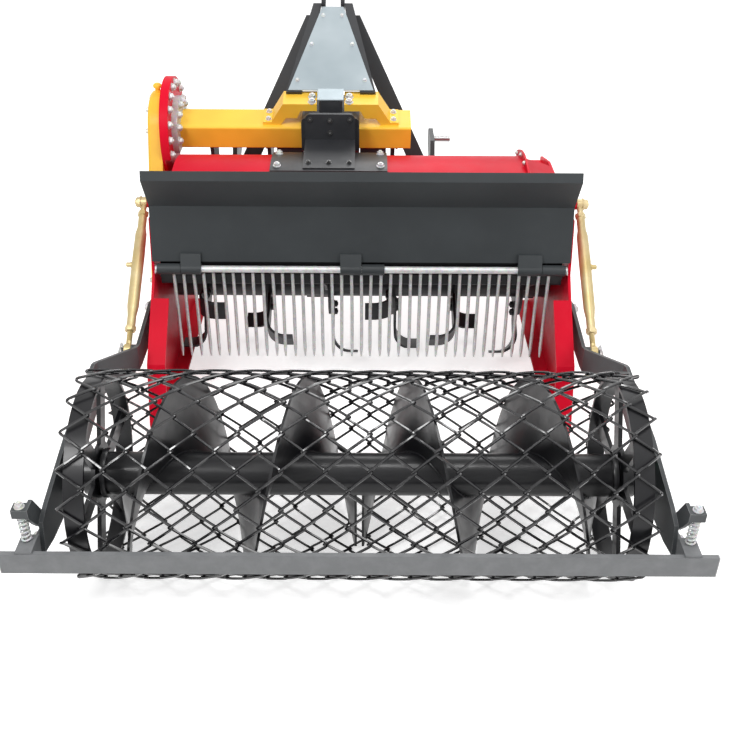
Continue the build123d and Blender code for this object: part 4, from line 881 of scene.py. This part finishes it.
def rod_tube(side):
    """Upper eye, a neck that bows by half a sine, the swollen tube with its lock nut, and a handle."""
    collar, end = COLLAR_R * hexagon(), TUBE_END - NECK
    body = turned(along_rod(side, NECK), rod_way, [
        (-0.002, 0.009), (0, collar), (0.013, collar), (0.014, WAIST_R), (0.055, WAIST_R),
        (0.075, SHOULDER_R), (0.155, MIDDLE_R), (end - 0.065, SHOULDER_R), (end - 0.035, WAIST_R),
        (end, WAIST_R), (end, collar), (end + 0.013, collar), (end + 0.015, 0.0135),
        (end + 0.015, BORE_R), (end - 0.004, BORE_R),
    ], BOLT_SIDES)
    reach = np.linspace(0.012, NECK + 0.004, 8)
    bow = 0.003 * np.sin(np.pi * (reach - 0.012) / NECK)
    neck_path = along_rod(side, 0) + reach[:, None] * rod_way + bow[:, None] * rod_up
    handle = turned(along_rod(side, rod_length * 0.44), (side, 0, 0), [
        (0.010, 0.0085), (0.020, 0.0085), (0.0205, 0.007), (0.031, 0.007), (0.033, 0.005),
    ], 16)
    neck = tube(neck_path, 0.009, 12, up=(1, 0, 0))
    return joined([body, neck, eye_ring(along_rod(side, 0), 0.0093, 0.016), handle])


def rod_screw(side):
    """A bar whose radius saws between root and crest every two millimetres where it is threaded."""
    start = TUBE_END - 0.002
    rings = [(-0.09, SCREW_R - 0.0008), (0, SCREW_R - 0.0008)]
    rings += [(i * 0.001 + 0.001, SCREW_R - THREAD_DEPTH * (i % 2)) for i in range(49)]
    rings.append((rod_length - 0.017 - start, SCREW_R))
    bar = turned(along_rod(side, start), rod_way, rings, 16)
    return joined([bar, eye_ring(along_rod(side, rod_length), 0.011, 0.018)])


print("rod length", round(float(rod_length), 4))

# %% [markdown]
# ## Rods and their pins
# The tube turns on the frame and the screw slides in it, so they are two pieces on two bodies. A nut
# holds the upper eye, and a lynch pin the lower one.

# %% Make the adjusting rods
PIN_FACE, TOP_NUT_FACE = 0.675, 0.6672


def spring_ring(side):
    """The lynch pin through the lower pin: a short cross bar, and a wire ring that snaps over it."""
    centre = np.array([side * (PIN_FACE - 0.004), ROD_LOW[1], ROD_LOW[2]])
    turn = np.linspace(0, 2 * np.pi, 28, endpoint=False)
    ring = centre + np.stack([
        side * (0.009 - 0.005 * np.cos(turn)), 0.016 * np.sin(turn), 0.004 + 0.018 * np.cos(turn),
    ], 1)
    cross = centre + np.array([[0, 0, -0.013], [0, 0, 0], [0, 0, 0.022]])
    return joined([
        tube(ring, 0.0016, 8, closed=True, up=(0.3, 0.2, 1)), tube(cross, 0.0025, 10, up=(0, 1, 0)),
    ])


for side, hand in ((-1, "left"), (1, "right")):
    make_piece(f"turnbuckle_{hand}", rod_tube(side), f"rod_tube_{hand}", gold,
               replaces=(f"rod_tube_{hand}",))
    make_piece(f"turnbuckle_screw_{hand}", rod_screw(side), f"rod_screw_{hand}", gold,
               replaces=(f"rod_screw_{hand}",))
make_piece("lynch_pins", both_sides(spring_ring), "roller_frame", bright_zinc)
rows = [((side * TOP_NUT_FACE, *ROD_TOP[1:]), (side, 0, 0), BOLT_16, 0.2) for side in (-1, 1)]
bolts("rod_top_nuts", rows, "frame", gold)

# %% [markdown]
# ## The scraper's springs
# A coil spring on a long bolt pushes each end of the scraper off a lug, so a stone can pass. The coil
# is a helix whose last turn at each end lies flat.

# %% Coil the scraper's springs
SPRING_X, SPRING_Y = 0.7204, -0.8765
TAB_TOP, LUG_LOW, LUG_TOP = 0.2673, 0.3377, 0.360
COIL_R, COIL_WIRE, COIL_TURNS = 0.0095, 0.0024, 7
SHANK_R = 0.0045


def coil(side):
    """A helix about Z: cosine and sine of the turn, lifted evenly between two flat end turns."""
    turn = np.linspace(0, COIL_TURNS, COIL_TURNS * 18 + 1)
    low, high = TAB_TOP + COIL_WIRE, LUG_LOW - COIL_WIRE
    lift = np.interp(turn, [0, 0.8, COIL_TURNS - 0.8, COIL_TURNS], [low, low + 0.002, high - 0.002, high])
    x = side * SPRING_X + COIL_R * np.cos(2 * np.pi * turn)
    y = SPRING_Y + COIL_R * np.sin(2 * np.pi * turn)
    return tube(np.stack([x, y, lift], 1), COIL_WIRE, 8, up=(0, 0, 1))


def spring_bolt(side):
    """The long bolt through a spring: its shank, and its nut on top of the lug."""
    foot, length = (side * SPRING_X, SPRING_Y, TAB_TOP - 0.004), LUG_TOP - TAB_TOP + 0.005
    shank = turned(foot, (0, 0, 1), [(0, SHANK_R), (length, SHANK_R)], 16)
    return joined([shank, bolt((side * SPRING_X, SPRING_Y, LUG_TOP), (0, 0, 1), BOLT_10, 0.5)])


for side, hand in ((-1, "left"), (1, "right")):
    make_piece(f"coil_spring_{hand}", coil(side), "roller_frame", bright_zinc,
               replaces=(f"scraper_spring_{hand}",))
make_piece("spring_bolts", both_sides(spring_bolt), "roller_frame", bright_zinc)

# %% [markdown]
# ## The roller's ends
# Four bolts hold each bearing to its arm, with a cap over the axle's end between them. A green plastic
# cap keeps dirt off the right bearing's grease nipple. The arms hinge on pins with a nut each.

# %% Bolt the roller's arms
ARM_FACE, LEVER_FACE, PIVOT_FACE, BEARING_RING_R = 0.700, 0.7086, 0.643, 0.036
ARM_PIVOT = (0.1735, 0.25)
SCRAPER_PIVOT = (-0.8355, 0.2355)
LUG_BOLT = (SPRING_Y + 0.034, 0.306)
rows = []
for side in (-1, 1):
    for degrees in (45, 135, 225, 315):
        place = on_ring(side * ARM_FACE, BEARING_RING_R, degrees, ROLLER_Y, ROLLER_Z)
        rows.append((place, (side, 0, 0), BOLT_10))
    rows.append(((side * LEVER_FACE, *SCRAPER_PIVOT), (side, 0, 0), BOLT_14))
    rows.append(((side * LEVER_FACE, *LUG_BOLT), (side, 0, 0), BOLT_10))
bolts("arm_bolts", rows, "roller_frame")
rows = [((side * PIVOT_FACE, *ARM_PIVOT), (side, 0, 0), BOLT_18) for side in (-1, 1)]
bolts("pivot_nuts", rows, "frame")

# %% [markdown]
# ## Caps and collars
# Small turned parts finish the roller: the caps on the axle's ends, the grease cap, and a collar on
# each end of the tube.

# %% Turn the caps and collars
COLLAR_X = 0.5955
GREASE_PLACE, GREASE_WAY = (0.674, ROLLER_Y - 0.020, ROLLER_Z + 0.040), (-0.35, -0.45, 0.82)


def axle_cap(side):
    """A low round lid with a bevelled rim."""
    return turned((side * ARM_FACE, ROLLER_Y, ROLLER_Z), (side, 0, 0), [
        (-0.001, 0.024), (0.005, 0.024), (0.008, 0.019), (0.008, 0.003),
    ], 32)


def tube_collar(side):
    """A ring round the tube that steps up, runs flat and slopes down to the tube again."""
    return turned((side * COLLAR_X, ROLLER_Y, ROLLER_Z), (side, 0, 0), [
        (0, TUBE_R - 0.001), (0, TUBE_R + 0.007), (0.004, TUBE_R + 0.009), (0.012, TUBE_R + 0.009),
        (0.0165, TUBE_R + 0.002), (0.0165, TUBE_R - 0.001),
    ], 40, hollow=True)


grease_cap = turned(GREASE_PLACE, GREASE_WAY, [
    (-0.004, 0.008), (0.008, 0.0105), (0.020, 0.0105), (0.026, 0.007), (0.027, 0.001),
])
make_piece("axle_caps", both_sides(axle_cap), "roller_frame", soft_black)
make_piece("grease_cap", grease_cap, "roller_frame", green)
make_piece("tube_collars", both_sides(tube_collar), "roller", sheet_black)

# %% [markdown]
# ## Split pins
# A split pin stops the comb's shaft at each end: a leg through the shaft, bent round to an eye.

# %% Push in the split pins
SPLIT_PIN_X, EYE_BEHIND, EYE_R = 0.5945, 0.0175, 0.005


def split_pin(side):
    """An open ring of wire for the eye, and a straight leg through the shaft."""
    centre = np.array([side * SPLIT_PIN_X, COMB_Y, COMB_Z])
    turn = np.linspace(-0.8 * np.pi, 0.8 * np.pi, 16)
    ring = np.stack([turn * 0, -EYE_BEHIND - EYE_R * np.cos(turn), EYE_R * np.sin(turn)], 1)
    leg = np.array([[0, -0.012, 0], [0, 0, 0], [0, 0.0135, 0]])
    return joined([tube(centre + ring, 0.0012, 8, up=(1, 0, 0)), tube(centre + leg, 0.0014, 8)])


make_piece("split_pins", both_sides(split_pin), "frame", bright_zinc)

# %% [markdown]
# ## Floor and surround
# A pale floor and a white surround, as in a catalogue picture. The floor glows a little towards the
# camera, so it reads white and still carries the machine's shadow. Shiny faces see the same white.

# %% Floor and world
FLOOR_HALF = 12.0
FLOOR_LIFT = 0.6
SKY = 0.46


def seen_share(shop):
    """1 for a ray that looks at the surround: from the camera, off a shiny face or through glass."""
    seen, shiny, through = (
        shop.node("ShaderNodeLightPath", out=kind)
        for kind in ("Is Camera Ray", "Is Glossy Ray", "Is Transmission Ray")
    )
    return shop.math("MAXIMUM", shop.math("MAXIMUM", seen, shiny), through)


def flat_floor():
    """One square under the machine."""
    corners = [(-FLOOR_HALF, -FLOOR_HALF, 0), (FLOOR_HALF, -FLOOR_HALF, 0),
               (FLOOR_HALF, FLOOR_HALF, 0), (-FLOOR_HALF, FLOOR_HALF, 0)]
    mesh = bpy.data.meshes.new("floor")
    mesh.from_pydata(corners, [], [(0, 1, 2, 3)])
    floor = bpy.data.objects.new("floor", mesh)
    scene.collection.objects.link(floor)
    shop = new_shop("floor_white")
    mesh.materials.append(shop.finish(
        Base_Color=shop.mix(shop.noise(2, 2), (0.86, 0.86, 0.86), (0.9, 0.9, 0.9)), Roughness=0.9,
        Emission_Color=shop.mix(seen_share(shop), (0, 0, 0), (1, 1, 1)), Emission_Strength=FLOOR_LIFT,
    ))


flat_floor()
scene.world = bpy.data.worlds.new("surround")
sky = Shop(scene.world, "Background")
sky.finish(Color=(1, 1, 1, 1), Strength=SKY + seen_share(sky) * (1 - SKY))
print("sky", SKY, "floor lift", FLOOR_LIFT)

# %% [markdown]
# ## Light
# The lamps are large and soft, so the black enamel shows long quiet reflections.

# %% Hang the lamps
LAMPS = (  # name, place, aim, size, watts
    ("key", (-2.0, -2.8, 3.8), (0, 0, 0.3), 1.3, 95),
    ("fill", (3.0, -1.6, 2.6), (0, 0, 0.3), 1.8, 45),
    ("rim", (0.5, 3.2, 3.2), (0, 0, 0.4), 2.0, 60),
    ("roof", (0.3, -0.9, 3.4), (0, -0.6, 0.3), 0.9, 30),
)
for name, place, aim, size, watts in LAMPS:
    lamp = bpy.data.lights.new(name, "AREA")
    lamp.size = size
    lamp.energy = watts
    holder = bpy.data.objects.new(name, lamp)
    scene.collection.objects.link(holder)
    holder.location = place
    way = np.asarray(aim, float) - np.asarray(place, float)
    way /= np.linalg.norm(way)
    holder.rotation_euler = (math.acos(-way[2]), 0, math.atan2(-way[0], way[1]))
scene.view_settings.view_transform = "Standard"
print("lamps", len(LAMPS))
